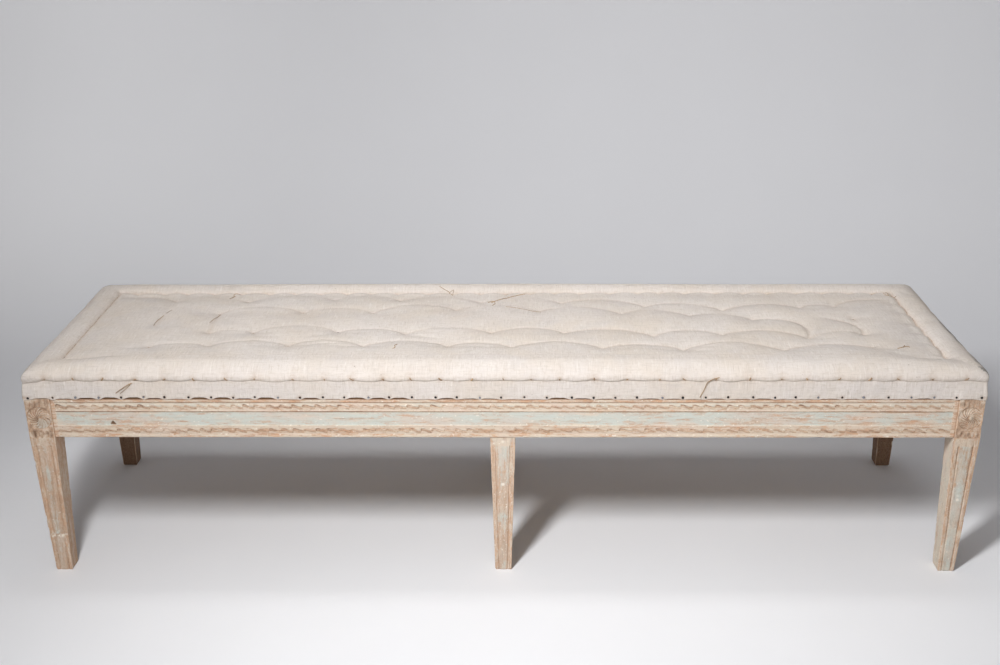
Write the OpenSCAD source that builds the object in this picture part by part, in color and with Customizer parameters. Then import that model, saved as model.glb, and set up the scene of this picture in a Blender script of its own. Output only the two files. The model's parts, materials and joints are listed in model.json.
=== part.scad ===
// Long stool in the Gustavian manner: a painted, pegged frame on six tapered legs,
// with interlaced webbing and a hand-stitched, tufted linen seat.
// The origin is the centre of the footprint on the floor. X runs along the stool,
// the front faces -Y and Z is up. Sizes are millimetres.

/* [Frame] */
// Length over the outer faces of the corner legs
frame_l = 1900; // [1500:10:2400]
// Depth over the outer faces of the corner legs
frame_d = 521; // [430:1:640]
// Height of the rails' lower edge above the floor
leg_h = 313; // [250:1:400]
// Height of the rails
rail_h = 93; // [84:1:120]
// Thickness of the rails
rail_t = 26; // [22:1:32]
// Distance of the rail faces behind the block faces
rail_set = 3; // [1:0.5:5]

/* [Legs] */
// Side of the square block at the top of a leg
leg_w = 51; // [46:1:62]
// Side of the foot
foot_w = 34; // [26:1:42]
// Distance from the rail down to the top end of the leg grooves
groove_stop = 16; // [8:1:40]
// Width of a leg groove at the surface
groove_w = 4; // [2:0.5:6]
// Plain strip outside the groove at the top
strip_top = 9; // [6:0.5:12]
// Plain strip outside the groove at the foot
strip_foot = 6; // [4:0.5:8]

/* [Block carving ground] */
// Diameter of the sunk round for the rosette
rosette_d = 46; // [30:1:50]
// Depth of the sunk round at its rim
rosette_sink = 1.6; // [0.8:0.1:3]
// Height of the rosette's centre above the rails' lower edge
rosette_up = 44; // [36:1:60]
// Width of the cut lines below the rosette
collar_w = 2; // [1:0.5:3]
// Heights of the two cut lines above the rails' lower edge
collar_low = 2; // [2:0.5:8]
// Height of the upper cut line above the rails' lower edge
collar_high = 15; // [10:0.5:24]

/* [Rail moulding] */
// Length of the plain border between a block and the moulding
border_w = 8; // [4:1:20]
// Distance from the rail's top edge to the upper band
upper_band_down = 16; // [12:1:24]
// Distance from the rail's lower edge to the lower band
lower_band_up = 7; // [5:1:12]
// Height of each sunk band
band_h = 17; // [12:1:20]
// Depth of the sunk bands
band_sink = 2; // [1:0.5:4]
// Width of the rounded astragal in a band
astragal_w = 10; // [6:0.5:12]
// Margin between the bands and the flat field
field_margin = 3; // [2:0.5:6]
// Depth of the flat field
field_sink = 1; // [0.5:0.5:2]

/* [Joinery] */
// Thickness of the rail tenons
tenon_t = 9; // [7:0.5:11]
// Length of the rail tenons
tenon_l = 28; // [20:1:28]
// Shoulder above and below a rail tenon
tenon_shoulder = 14; // [10:1:20]
// Clearance between a tenon and its mortise
joint_gap = 0.2; // [0.1:0.05:0.4]
// Diameter of the oak pegs
peg_d = 8; // [6:0.5:8]
// Radial clearance of the pegs
peg_gap = 0.1; // [0.05:0.05:0.2]
// Length of a peg past the tenon
peg_past = 5; // [3:1:7]
// Height of the lower peg above the rail's lower edge
peg_low = 24; // [22:1:28]
// Height of the upper peg above the rail's lower edge
peg_high = 54; // [50:1:56]
// Height step between the pegs of the two rails that meet in a leg
peg_step = 11; // [10:1:12]
// Length of the middle leg pegs inside the rail
mid_peg_in = 16; // [10:1:18]

/* [Braces] */
// Leg of the triangular corner blocks
brace_w = 92; // [70:1:120]
// Height of the corner blocks
brace_h = 34; // [26:1:44]
// Flat at the tips of the corner blocks
brace_tip = 6; // [4:1:10]
// Clearance between a corner block and the leg
brace_gap = 0.3; // [0.2:0.1:0.6]
// Thickness of the centre cross rail
cross_t = 26; // [20:1:32]
// Height of the centre cross rail at its ends
cross_h = 58; // [44:1:66]
// Distance of the cross rail above the rails' lower edge
cross_up = 12; // [6:1:20]
// Dip of the cross rail's upper edge
cross_dip = 14; // [6:1:20]
// Length of the cross rail's stub tenons
stub_l = 12; // [8:1:16]
// Thickness of the stub tenons
stub_t = 12; // [8:1:16]
// Shoulder above and below a stub tenon
stub_shoulder = 11; // [8:1:14]

/* [Webbing] */
// Width of a girth
girth_w = 60; // [45:1:70]
// Thickness of a girth
girth_t = 1.6; // [1.2:0.1:2.4]
// Number of lengthwise girths
girths_long = 4; // [3:1:5]
// Number of crosswise girths
girths_cross = 13; // [9:2:15]
// Clearance between girths where they cross
girth_gap = 0.3; // [0.2:0.1:0.6]
// Length of the slope where a girth climbs over another
girth_ramp = 12; // [8:1:20]
// Distance of a girth's folded end from the rail face
girth_in = 3; // [2:1:6]
// Length of the fold at a girth's end
girth_fold = 22; // [16:1:22]

/* [Tacks] */
// Diameter of a tack's shank
tack_d = 1.6; // [1.2:0.1:2.2]
// Diameter of a tack's head
tack_head_d = 5; // [3.5:0.5:7]
// Height of a tack's head
tack_head_h = 1.2; // [0.8:0.1:2]
// Length of a tack's shank in the wood
tack_in = 9; // [6:0.5:12]
// Radial clearance of a tack's shank
tack_gap = 0.1; // [0.05:0.05:0.2]
// Number of tacks along the front and the rear, the two on the blocks included
tacks_long = 43; // [29:2:51]
// Number of tacks along each end, the two on the blocks included
tacks_end = 11; // [7:2:13]
// Distance of the first front tack from the block's edge
tack_edge_long = 10; // [8:1:14]
// Distance of the first end tack from the block's edge
tack_edge_end = 16; // [14:1:20]
// Distance of a rail's first tack from the block
tack_edge_rail = 8; // [7:1:16]
// Length of the slope where the border steps back from a block to a rail
border_ramp = 4; // [3:0.5:4]
// Distance of the tacks above the hem
tack_up = 2.6; // [2:0.1:5]
// Diameter of a webbing tack's head
web_tack_head_d = 8; // [6:0.5:10]
// Height of a webbing tack's head
web_tack_head_h = 0.5; // [0.4:0.1:0.5]

/* [Seat] */
// Height of the crest of the stitched edge roll above the rails' top edge
roll_rise = 59; // [45:1:75]
// Height of the seam below the roll above the rails' top edge
low_seam_up = 30; // [22:1:36]
// Length of linen that hangs below the rails' top edge
hem_down = 8; // [5:1:12]
// Width of the stitched edge roll
roll_w = 66; // [50:1:80]
// Overhang of the roll past the block faces
roll_out = 4; // [0:1:8]
// Depth of the stitched seam inside the roll
seam_deep = 10; // [4:1:14]
// Crown of the seat inside the seam
crown = 5; // [0:1:12]
// Depth of a tuft
tuft_deep = 8; // [3:1:12]
// Number of tufts in a full row
tufts = 9; // [7:1:9]
// Distance from the inner seam to the end column of tufts
tuft_end = 148; // [110:1:180]
// Radius of the roll's corners
corner_r = 25; // [15:1:40]
// Thickness of the linen cover with its lining
cover_t = 3; // [2:0.5:4]
// Thickness of the linen border
border_t = 1.5; // [1:0.25:2]
// Thickness of the hessian
hessian_t = 1.2; // [0.8:0.1:2]
// Clearance between soft pieces
soft_gap = 0.3; // [0.2:0.05:0.6]

/* [Hidden] */
$fn = 48;

// Colours of the materials
paint = [0.74, 0.74, 0.68];
bare_wood = [0.80, 0.64, 0.50];
oak = [0.62, 0.46, 0.32];
hemp = [0.66, 0.57, 0.44];
jute = [0.62, 0.52, 0.38];
hair = [0.25, 0.21, 0.18];
linen = [0.85, 0.80, 0.75];
iron = [0.16, 0.15, 0.15];

// Half sizes and levels of the frame
half_l = frame_l / 2;
half_d = frame_d / 2;
top_z = leg_h + rail_h;
long_span = frame_l - 2 * leg_w;
end_span = frame_d - 2 * leg_w;
inner_in = rail_set + rail_t;
leg_x = half_l - leg_w / 2;
leg_y = half_d - leg_w / 2;
eps = 1;

// Taper of a leg and its grooves
taper = atan((leg_w - foot_w) / 2 / leg_h);
face_l = leg_h / cos(taper);
groove_top_x = leg_w / 2 - strip_top - groove_w / 2;
groove_foot_x = foot_w / 2 - strip_foot - groove_w / 2;
groove_run = face_l - groove_stop;
groove_lean = atan((groove_top_x - groove_foot_x) / groove_run);
vee = groove_w / sqrt(2);

// Tenons and pegs
tenon_in = (rail_t - tenon_t) / 2;
tenon_h = rail_h - 2 * tenon_shoulder;
peg_x = leg_w / 2 - tenon_l / 2;
peg_tip = -leg_w / 2 + rail_set + tenon_in - peg_past;
peg_l = leg_w / 2 - peg_tip;
post_t = leg_w - rail_t;
mid_y = half_d - rail_set - leg_w / 2;
mid_peg_x = leg_w / 4;

// Cross rail between the middle legs
cross_span = 2 * (mid_y - leg_w / 2);
cross_dip_r = (cross_span * cross_span / 4 + cross_dip * cross_dip) / (2 * cross_dip);
stub_h = cross_h - 2 * stub_shoulder;

// Webbing levels and places
girth_over = girth_t + girth_gap;
long_pitch = (frame_d - 2 * inner_in) / girths_long;
cross_pitch = (frame_l - 2 * inner_in) / girths_cross;
long_ys = [for (k = [0 : girths_long - 1]) (k - (girths_long - 1) / 2) * long_pitch];
cross_xs = [for (k = [0 : girths_cross - 1]) (k - (girths_cross - 1) / 2) * cross_pitch];
girth_half_long = half_l - rail_set - girth_in;
girth_half_cross = half_d - rail_set - girth_in;
web_tack_from = rail_set + rail_t / 2;
web_tack_steps = [-1, 0, 1];
web_tack_pitch = girth_w / 3;

// Levels of the soft layers
hessian_z = top_z + 2 * girth_t + 2 * girth_gap;
stuffing_z = hessian_z + hessian_t + soft_gap;
low_seam_z = top_z + low_seam_up;
crest_z = top_z + roll_rise;
seam_z = crest_z - seam_deep;
hem_z = top_z - hem_down;
tack_z = hem_z + tack_up;

// Places of the cover tacks along a side: one on each block and the rest on the rail
function spread(n, reach) = [for (k = [0 : n - 1]) -reach + 2 * reach * k / (n - 1)];
function side_tacks(n, outer, span) =
    concat([-outer], spread(n - 2, span / 2 - tack_edge_rail), [outer]);
tack_xs = side_tacks(tacks_long, half_l - tack_edge_long, long_span);
tack_ys = side_tacks(tacks_end, half_d - tack_edge_end, end_span);

// Plan sizes of the cover
out_x = half_l + roll_out;
out_y = half_d + roll_out;
seam_x = out_x - roll_w;
seam_y = out_y - roll_w;
corner_pull = corner_r * (1 - sqrt(0.5));

// Grid of the cover's top: 2 end columns, 3 cells to a tuft pitch, 2 end columns
nx = 3 * (tufts - 1) + 4;
tuft_x = seam_x - tuft_end;
cell = 2 * tuft_x / (nx - 4);
// Each row of the grid: its place as a share of the seam's half depth, and its kind.
// Kind 0 is plain, kind 1 has a tuft at every third point and kind 2 lies half a pitch off.
rows = [[-1, 0], [-0.77, 2], [-0.38, 1], [-0.14, 0], [0.10, 2], [0.51, 1], [0.80, 0], [1, 0]];
ny = len(rows) - 1;

// X of grid point i on a row of the given kind, from the left seam to the right one
function half_step(i) = i <= 2 ? 0 : i >= nx - 2 ? 0 : i == nx - 3 ? 0.25 : 0.5;
function inner_x(i, kind) = -tuft_x + cell * (i - 2 + (kind == 2 ? half_step(i) : 0));
function grid_x(i, kind) =
    i == 0 ? -seam_x :
    i == 1 ? -seam_x + corner_r :
    i == nx - 1 ? seam_x - corner_r :
    i == nx ? seam_x :
    inner_x(i, kind);

// A tuft lies at every third point, and at both end columns
function is_tuft(i, kind) =
    kind == 0 || i < 2 || i > nx - 2 ? false :
    i == 2 || i == nx - 2 ? true :
    (kind == 1 ? i - 2 : i) % 3 == 0;

// Height of a grid point, lowered by a layer's thickness
function crown_at(x, y) = crown * (1 - pow(x / seam_x, 4)) * (1 - pow(y / seam_y, 2));
function grid_z(i, j, x, y) =
    seam_z + (i == 0 || i == nx || j == 0 || j == ny ? 0 : 3 + crown_at(x, y))
    - (is_tuft(i, rows[j][1]) ? tuft_deep : 0);
function grid_point(i, j, down) =
    let(x = grid_x(i, rows[j][1]), y = rows[j][0] * seam_y)
    [x, y, grid_z(i, j, x, y) - down];

// Section of the roll: inset from the outermost line, height, and the share of a layer's
// thickness that moves the point inwards and downwards
roll = [
    [roll_w * 0.72, crest_z - 1, 0, 1],
    [roll_w * 0.42, crest_z, 0, 1],
    [roll_w * 0.12, crest_z - 6, 0.7, 0.7],
    [0, (crest_z + low_seam_z) / 2 - 1, 1, 0.1],
    [roll_out + 1, low_seam_z, 1, 0]
];

// Boundary indices of the grid, counter-clockwise from the front left corner
loop_n = 2 * (nx + ny);
function edge_i(k) =
    k <= nx ? k : k <= nx + ny ? nx : k <= 2 * nx + ny ? 2 * nx + ny - k : 0;
function edge_j(k) =
    k <= nx ? 0 : k <= nx + ny ? k - nx : k <= 2 * nx + ny ? ny : loop_n - k;

// Place on a ring along one axis: the outer two points hold the corner's radius
function ring_at(index, last, value, reach) =
    index == 0 ? -reach :
    index == last ? reach :
    index == 1 ? -reach + corner_r :
    index == last - 1 ? reach - corner_r :
    value;
function ring_point(k, inset, z) =
    let(
        i = edge_i(k),
        j = edge_j(k),
        corner = (i == 0 || i == nx) && (j == 0 || j == ny),
        pull = corner ? corner_pull : 0,
        x = ring_at(i, nx, grid_x(i, 1), out_x - inset),
        y = ring_at(j, ny, rows[j][0] * seam_y, out_y - inset)
    )
    [x - sign(x) * pull, y - sign(y) * pull, z];

// Points of one skin of the seat, lowered by a thickness: the grid, then the roll's rings
function skin_points(down) = concat(
    [for (j = [0 : ny]) for (i = [0 : nx]) grid_point(i, j, down)],
    [for (r = roll) for (k = [0 : loop_n - 1]) ring_point(k, r[0] + down * r[2], r[1] - down * r[3])]
);
grid_n = (nx + 1) * (ny + 1);
skin_n = grid_n + len(roll) * loop_n;
function grid_index(i, j) = j * (nx + 1) + i;
function edge_index(k) = grid_index(edge_i(k % loop_n), edge_j(k % loop_n));
function ring_index(r, k) = r < 0 ? edge_index(k) : grid_n + r * loop_n + k % loop_n;
function two(a, b, c, d) = [[a, b, c], [a, c, d]];
function flipped(faces) = [for (f = faces) [f[0], f[2], f[1]]];
function shifted(faces, by) = [for (f = faces) [for (v = f) v + by]];

// Faces of one skin, seen from above
function grid_faces() = [
    for (j = [0 : ny - 1]) for (i = [0 : nx - 1])
        for (f = (i + j) % 2 == 0
            ? two(grid_index(i, j), grid_index(i, j + 1), grid_index(i + 1, j + 1), grid_index(i + 1, j))
            : two(grid_index(i, j + 1), grid_index(i + 1, j + 1), grid_index(i + 1, j), grid_index(i, j)))
            f
];
function band_faces(a, b) = [
    for (k = [0 : loop_n - 1])
        for (f = two(ring_index(a, k), ring_index(a, k + 1), ring_index(b, k + 1), ring_index(b, k)))
            f
];
function skin_faces() = concat(
    grid_faces(),
    [for (r = [-1 : len(roll) - 2]) for (f = band_faces(r, r + 1)) f]
);

// Shapes

// A square shaft that tapers alike on all four sides
module tapered_shaft() {
    half_top = leg_w / 2;
    half_foot = foot_w / 2;
    intersection() {
        rotate([90, 0, 0])
            linear_extrude(leg_w + 2, center = true)
                polygon([[-half_foot, 0], [half_foot, 0], [half_top, leg_h], [-half_top, leg_h]]);
        rotate([90, 0, 90])
            linear_extrude(leg_w + 2, center = true)
                polygon([[-half_foot, 0], [half_foot, 0], [half_top, leg_h], [-half_top, leg_h]]);
    }
}

// The two converging grooves on a leg's front face
module front_grooves() {
    translate([0, -leg_w / 2, leg_h])
        rotate([taper, 0, 0])
            for (side = [-1, 1])
                translate([side * groove_top_x, 0, -groove_stop])
                    rotate([0, side * groove_lean, 0])
                        rotate([180, 0, 0])
                            linear_extrude(groove_run + groove_w)
                                rotate(45) square(vee, center = true);
}

// The ground for a rosette: a sunk round that rises to a low dome
module rosette_ground() {
    r = rosette_d / 2;
    translate([0, -leg_w / 2, leg_h + rosette_up])
        rotate([90, 0, 0])
            rotate_extrude()
                polygon([[0, -0.2], [r * 0.2, -0.2], [r * 0.75, -rosette_sink * 0.7],
                         [r, -rosette_sink], [r, eps], [0, eps]]);
}

// The two lines cut across a block below the rosette
module collar_lines() {
    for (z = [collar_low, collar_high])
        translate([0, -leg_w / 2, leg_h + z])
            rotate([0, 90, 0])
                linear_extrude(leg_w + 2, center = true)
                    rotate(45) square(collar_w / sqrt(2), center = true);
}

// Everything cut into the front face of a corner leg
module carved_face() {
    front_grooves();
    rosette_ground();
    collar_lines();
}

// A mortise in the +X face of a leg for the rail along the front
module rail_mortise() {
    depth = tenon_l + joint_gap;
    translate([leg_w / 2 - depth, -leg_w / 2 + rail_set + tenon_in - joint_gap,
               leg_h + tenon_shoulder - joint_gap])
        cube([depth + eps, tenon_t + 2 * joint_gap, tenon_h + 2 * joint_gap]);
}

// Hole or peg across the front rail's tenon, from the leg's inner face
module across_peg(z, d, extra) {
    translate([peg_x, leg_w / 2 + extra, leg_h + z])
        rotate([90, 0, 0])
            cylinder(d = d, h = peg_l + extra + (extra > 0 ? peg_gap : 0));
}

// Blind hole for a cover tack, along +Y from the plane y = 0
module tack_hole() {
    translate([0, -eps, 0])
        rotate([-90, 0, 0])
            cylinder(d = tack_d + 2 * tack_gap, h = tack_in + tack_gap + eps, $fn = 16);
}

// A corner leg, drawn for the front left: its +X and +Y faces take the rails
module corner_leg() {
    difference() {
        union() {
            tapered_shaft();
            translate([-leg_w / 2, -leg_w / 2, leg_h]) cube([leg_w, leg_w, rail_h]);
        }
        carved_face();
        mirror([1, -1, 0]) carved_face();
        rail_mortise();
        mirror([1, -1, 0]) rail_mortise();
        for (z = [peg_low, peg_high]) {
            across_peg(z, peg_d + 2 * peg_gap, eps);
            mirror([1, -1, 0]) across_peg(z + peg_step, peg_d + 2 * peg_gap, eps);
        }
        translate([tack_xs[0] + leg_x, -leg_w / 2, tack_z]) tack_hole();
        mirror([1, -1, 0])
            translate([tack_ys[0] + leg_y, -leg_w / 2, tack_z]) tack_hole();
    }
}

// A middle leg, drawn for the front: it stands under the rail and laps behind it
module middle_leg() {
    difference() {
        union() {
            tapered_shaft();
            translate([-leg_w / 2, leg_w / 2 - post_t, leg_h]) cube([leg_w, post_t, rail_h]);
        }
        front_grooves();
        translate([-(stub_t / 2 + joint_gap), leg_w / 2 - stub_l - joint_gap,
                   leg_h + cross_up + stub_shoulder - joint_gap])
            cube([stub_t + 2 * joint_gap, stub_l + joint_gap + eps, stub_h + 2 * joint_gap]);
        middle_pegs(peg_d + 2 * peg_gap, eps);
    }
}

// Pegs or holes that hold a middle leg to the rail, in the leg's own place
module middle_pegs(d, extra) {
    for (x = [-mid_peg_x, mid_peg_x])
        translate([x, leg_w / 2 + extra, leg_h + (x < 0 ? peg_low - 6 : peg_high + peg_step)])
            rotate([90, 0, 0])
                cylinder(d = d, h = post_t + mid_peg_in + extra + (extra > 0 ? peg_gap : 0));
}

// The ground of the moulding, as the section that is cut away in front of it
module moulding_cut() {
    astragal_r = (astragal_w * astragal_w / 4 + band_sink * band_sink) / (2 * band_sink);
    field_low = lower_band_up + band_h + field_margin;
    field_high = rail_h - upper_band_down - band_h - field_margin;
    difference() {
        union()
            for (z = [lower_band_up, rail_h - upper_band_down - band_h])
                translate([-eps, z]) square([eps + band_sink, band_h]);
        for (z = [lower_band_up, rail_h - upper_band_down - band_h])
            translate([astragal_r, z + band_h / 2]) circle(astragal_r);
    }
    translate([-eps, field_low]) square([eps + field_sink, field_high - field_low]);
}

// A rail along X with its face on y = 0 and its lower edge on z = 0
module rail(span, step, tack_list, girth_list) {
    moulded = span - 2 * border_w;
    difference() {
        union() {
            translate([-span / 2, 0, 0]) cube([span, rail_t, rail_h]);
            translate([-span / 2 - tenon_l, tenon_in, tenon_shoulder])
                cube([span + 2 * tenon_l, tenon_t, tenon_h]);
        }
        translate([-moulded / 2, 0, 0])
            rotate([90, 0, 90])
                linear_extrude(moulded) moulding_cut();
        for (side = [-1, 1])
            for (z = [peg_low, peg_high])
                translate([side * (span / 2 + tenon_l / 2), -eps, z + step])
                    rotate([-90, 0, 0])
                        cylinder(d = peg_d + 2 * peg_gap, h = rail_t + 2 * eps);
        for (x = tack_list)
            if (abs(x) < span / 2)
                translate([x, 0, tack_z - leg_h]) tack_hole();
        for (x = girth_list)
            for (s = web_tack_steps)
                translate([x + s * web_tack_pitch, web_tack_from - rail_set, rail_h + eps])
                    mirror([0, 0, 1])
                        cylinder(d = tack_d + 2 * tack_gap, h = tack_in + tack_gap + eps, $fn = 16);
    }
}

// A long rail at the front: it also takes the pegs of its middle leg
module long_rail() {
    difference() {
        translate([0, -half_d + rail_set, leg_h]) rail(long_span, 0, tack_xs, cross_xs);
        translate([0, -mid_y, 0]) middle_pegs(peg_d + 2 * peg_gap, eps);
    }
}

// An end rail at the left
module end_rail() {
    translate([-half_l + rail_set, 0, leg_h])
        rotate([0, 0, -90]) rail(end_span, peg_step, tack_ys, long_ys);
}

// The centre cross rail with its stub tenons and dished upper edge
module cross_rail() {
    translate([0, 0, leg_h + cross_up])
        difference() {
            union() {
                translate([-cross_t / 2, -cross_span / 2, 0]) cube([cross_t, cross_span, cross_h]);
                translate([-stub_t / 2, -cross_span / 2 - stub_l, stub_shoulder])
                    cube([stub_t, cross_span + 2 * stub_l, stub_h]);
            }
            translate([0, 0, cross_h - cross_dip + cross_dip_r])
                rotate([0, 90, 0])
                    cylinder(r = cross_dip_r, h = cross_t + 2 * eps, center = true, $fn = 360);
        }
}

// A corner block at the front left, notched round the leg
module corner_block() {
    notch = leg_w - inner_in + brace_gap;
    translate([-half_l + inner_in, -half_d + inner_in, leg_h + (rail_h - brace_h) / 2])
        linear_extrude(brace_h)
            polygon([[notch, 0], [brace_w, 0], [brace_w, brace_tip], [brace_tip, brace_w],
                     [0, brace_w], [0, notch], [notch, notch]]);
}

// All four pegs of the front left corner
module corner_pegs() {
    translate([-leg_x, -leg_y, 0])
        for (z = [peg_low, peg_high]) {
            across_peg(z, peg_d, 0);
            mirror([1, -1, 0]) across_peg(z + peg_step, peg_d, 0);
        }
}

// Outline of a girth's edge from -reach to reach: flat, raised over the crossings in list,
// and doubled where the end is folded back
module girth_outline(reach, list) {
    up = girth_over;
    half = girth_w / 2 + 3;
    bumps = [for (c = list) each [[c - half - girth_ramp, 0], [c - half, up],
                                  [c + half, up], [c + half + girth_ramp, 0]]];
    folded = 2 * girth_t;
    inner = reach - girth_fold;
    polygon(concat(
        [[-reach, 0]],
        bumps,
        [[reach, 0], [reach, folded], [inner, folded], [inner, girth_t]],
        [for (k = [len(bumps) - 1 : -1 : 0]) [bumps[k][0], bumps[k][1] + girth_t]],
        [[-inner, girth_t], [-inner, folded], [-reach, folded]]
    ));
}

// Holes for the webbing tacks at both ends of a girth that lies along X
module girth_holes(reach) {
    for (side = [-1, 1])
        for (s = web_tack_steps)
            translate([side * (reach + girth_in + rail_set - web_tack_from), s * web_tack_pitch, -eps])
                cylinder(d = tack_d + 2 * tack_gap, h = 2 * girth_t + 2 * eps, $fn = 16);
}

// A girth along X, woven over the crossings in list
module girth(reach, list) {
    difference() {
        rotate([90, 0, 0])
            linear_extrude(girth_w, center = true) girth_outline(reach, list);
        girth_holes(reach);
    }
}

// A webbing tack standing in a rail's top
module web_tack() {
    top = 2 * girth_t;
    translate([0, 0, -tack_in]) cylinder(d = tack_d, h = tack_in + top, $fn = 16);
    translate([0, 0, top]) cylinder(d = web_tack_head_d, h = web_tack_head_h, $fn = 24);
}

// A cover tack, driven along +Y, with its head standing on y = 0
module cover_tack() {
    rotate([90, 0, 0])
        rotate_extrude($fn = 24)
            polygon([[0, -tack_in - border_t], [tack_d / 2, -tack_in - border_t + 1],
                     [tack_d / 2, 0], [tack_head_d / 2, 0], [tack_head_d / 2, tack_head_h * 0.3],
                     [tack_head_d * 0.3, tack_head_h], [0, tack_head_h]]);
}

// A border strip along X, from the lower seam to the hem: it lies on the blocks,
// steps back on to the rail and is pierced by the tacks
module border_strip(half, span, tack_list) {
    line = [[-half, 0], [-span / 2, 0], [-span / 2 + border_ramp, rail_set],
            [span / 2 - border_ramp, rail_set], [span / 2, 0], [half, 0]];
    difference() {
        translate([0, 0, hem_z])
            linear_extrude(low_seam_z - soft_gap - hem_z)
                polygon(concat(line, [for (k = [len(line) - 1 : -1 : 0]) line[k] - [0, border_t]]));
        for (x = tack_list)
            translate([x, -2 * border_t, tack_z])
                rotate([-90, 0, 0])
                    cylinder(d = tack_d + 2 * tack_gap, h = 4 * border_t + rail_set, $fn = 16);
    }
}

// Depth of the border's inner face behind the block face at a place along the side
function border_back(x, span) =
    let(over = (span / 2 - abs(x)) / border_ramp)
    rail_set * max(0, min(1, over));

// A row of cover tacks along X on the border strip
module tack_row(span, tack_list) {
    for (x = tack_list)
        translate([x, border_back(x, span) - border_t, tack_z]) cover_tack();
}

// The pieces

module front_rail() { color(paint) long_rail(); }
module rear_rail() { color(paint) rotate(180) long_rail(); }
module left_end_rail() { color(paint) end_rail(); }
module right_end_rail() { color(paint) rotate(180) end_rail(); }
module centre_cross_rail() { color(bare_wood) cross_rail(); }

module leg_front_left() { color(bare_wood) translate([-leg_x, -leg_y, 0]) corner_leg(); }
module leg_front_right() { color(bare_wood) mirror([1, 0, 0]) translate([-leg_x, -leg_y, 0]) corner_leg(); }
module leg_rear_left() { color(bare_wood) mirror([0, 1, 0]) translate([-leg_x, -leg_y, 0]) corner_leg(); }
module leg_rear_right() { color(bare_wood) rotate(180) translate([-leg_x, -leg_y, 0]) corner_leg(); }
module leg_front_middle() { color(bare_wood) translate([0, -mid_y, 0]) middle_leg(); }
module leg_rear_middle() { color(bare_wood) rotate(180) translate([0, -mid_y, 0]) middle_leg(); }

module corner_block_front_left() { color(oak) corner_block(); }
module corner_block_front_right() { color(oak) mirror([1, 0, 0]) corner_block(); }
module corner_block_rear_left() { color(oak) mirror([0, 1, 0]) corner_block(); }
module corner_block_rear_right() { color(oak) rotate(180) corner_block(); }

module corner_joint_pegs() {
    color(oak)
        for (mx = [0, 1])
            for (my = [0, 1])
                mirror([mx, 0, 0]) mirror([0, my, 0]) corner_pegs();
}
module middle_leg_pegs() {
    color(oak)
        for (turn = [0, 180])
            rotate(turn) translate([0, -mid_y, 0]) middle_pegs(peg_d, 0);
}

module webbing_lengthwise() {
    color(hemp)
        for (m = [0 : girths_long - 1])
            translate([0, long_ys[m], top_z])
                girth(girth_half_long, [for (k = [0 : girths_cross - 1]) if ((k + m) % 2 == 1) cross_xs[k]]);
}
module webbing_crosswise() {
    color(hemp)
        for (k = [0 : girths_cross - 1])
            translate([cross_xs[k], 0, top_z])
                rotate(90)
                    girth(girth_half_cross, [for (m = [0 : girths_long - 1]) if ((k + m) % 2 == 0) long_ys[m]]);
}
module webbing_tacks() {
    color(iron)
        for (side = [-1, 1])
            for (s = web_tack_steps) {
                for (y = long_ys)
                    translate([side * (half_l - web_tack_from), y + s * web_tack_pitch, top_z]) web_tack();
                for (x = cross_xs)
                    translate([x + s * web_tack_pitch, side * (half_d - web_tack_from), top_z]) web_tack();
            }
}

module base_hessian() {
    color(jute)
        translate([-girth_half_long, -girth_half_cross, hessian_z])
            cube([2 * girth_half_long, 2 * girth_half_cross, hessian_t]);
}

module horsehair_stuffing() {
    down = cover_t + soft_gap;
    last = roll[len(roll) - 1];
    base = skin_n;
    color(hair)
        polyhedron(
            points = concat(
                skin_points(down),
                [for (k = [0 : loop_n - 1]) ring_point(k, last[0] + down, stuffing_z)]
            ),
            faces = concat(
                skin_faces(),
                [for (k = [0 : loop_n - 1])
                    for (f = two(ring_index(len(roll) - 1, k), ring_index(len(roll) - 1, k + 1),
                                 base + (k + 1) % loop_n, base + k))
                        f],
                [[for (k = [0 : loop_n - 1]) base + k]]
            )
        );
}

module linen_cover() {
    last = len(roll) - 1;
    color(linen)
        polyhedron(
            points = concat(skin_points(0), skin_points(cover_t)),
            faces = concat(
                skin_faces(),
                shifted(flipped(skin_faces()), skin_n),
                [for (k = [0 : loop_n - 1])
                    for (f = two(ring_index(last, k), ring_index(last, k + 1),
                                 skin_n + ring_index(last, k + 1), skin_n + ring_index(last, k)))
                        f]
            )
        );
}

module long_border() {
    translate([0, -half_d, 0]) border_strip(half_l + border_t, long_span, tack_xs);
}
module end_border() {
    translate([-half_l, 0, 0]) rotate(-90) border_strip(half_d - soft_gap, end_span, tack_ys);
}
module linen_border_front() { color(linen) long_border(); }
module linen_border_rear() { color(linen) rotate(180) long_border(); }
module linen_border_left() { color(linen) end_border(); }
module linen_border_right() { color(linen) rotate(180) end_border(); }

module long_tacks() { translate([0, -half_d, 0]) tack_row(long_span, tack_xs); }
module end_tacks() { translate([-half_l, 0, 0]) rotate(-90) tack_row(end_span, tack_ys); }
module tacks_front() { color(iron) long_tacks(); }
module tacks_rear() { color(iron) rotate(180) long_tacks(); }
module tacks_left() { color(iron) end_tacks(); }
module tacks_right() { color(iron) rotate(180) end_tacks(); }

front_rail();
rear_rail();
left_end_rail();
right_end_rail();
centre_cross_rail();
leg_front_left();
leg_front_middle();
leg_front_right();
leg_rear_left();
leg_rear_middle();
leg_rear_right();
corner_block_front_left();
corner_block_front_right();
corner_block_rear_left();
corner_block_rear_right();
corner_joint_pegs();
middle_leg_pegs();
webbing_lengthwise();
webbing_crosswise();
webbing_tacks();
base_hessian();
horsehair_stuffing();
linen_cover();
linen_border_front();
linen_border_rear();
linen_border_left();
linen_border_right();
tacks_front();
tacks_rear();
tacks_left();
tacks_right();
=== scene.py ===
# Looks of a long painted stool with a tufted linen seat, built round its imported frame.
# Lengths are metres. X runs along the stool, the front faces -Y and Z is up.
import json
import math

import bpy
import numpy as np
from mathutils import Matrix, Vector
from mathutils.bvhtree import BVHTree

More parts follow.
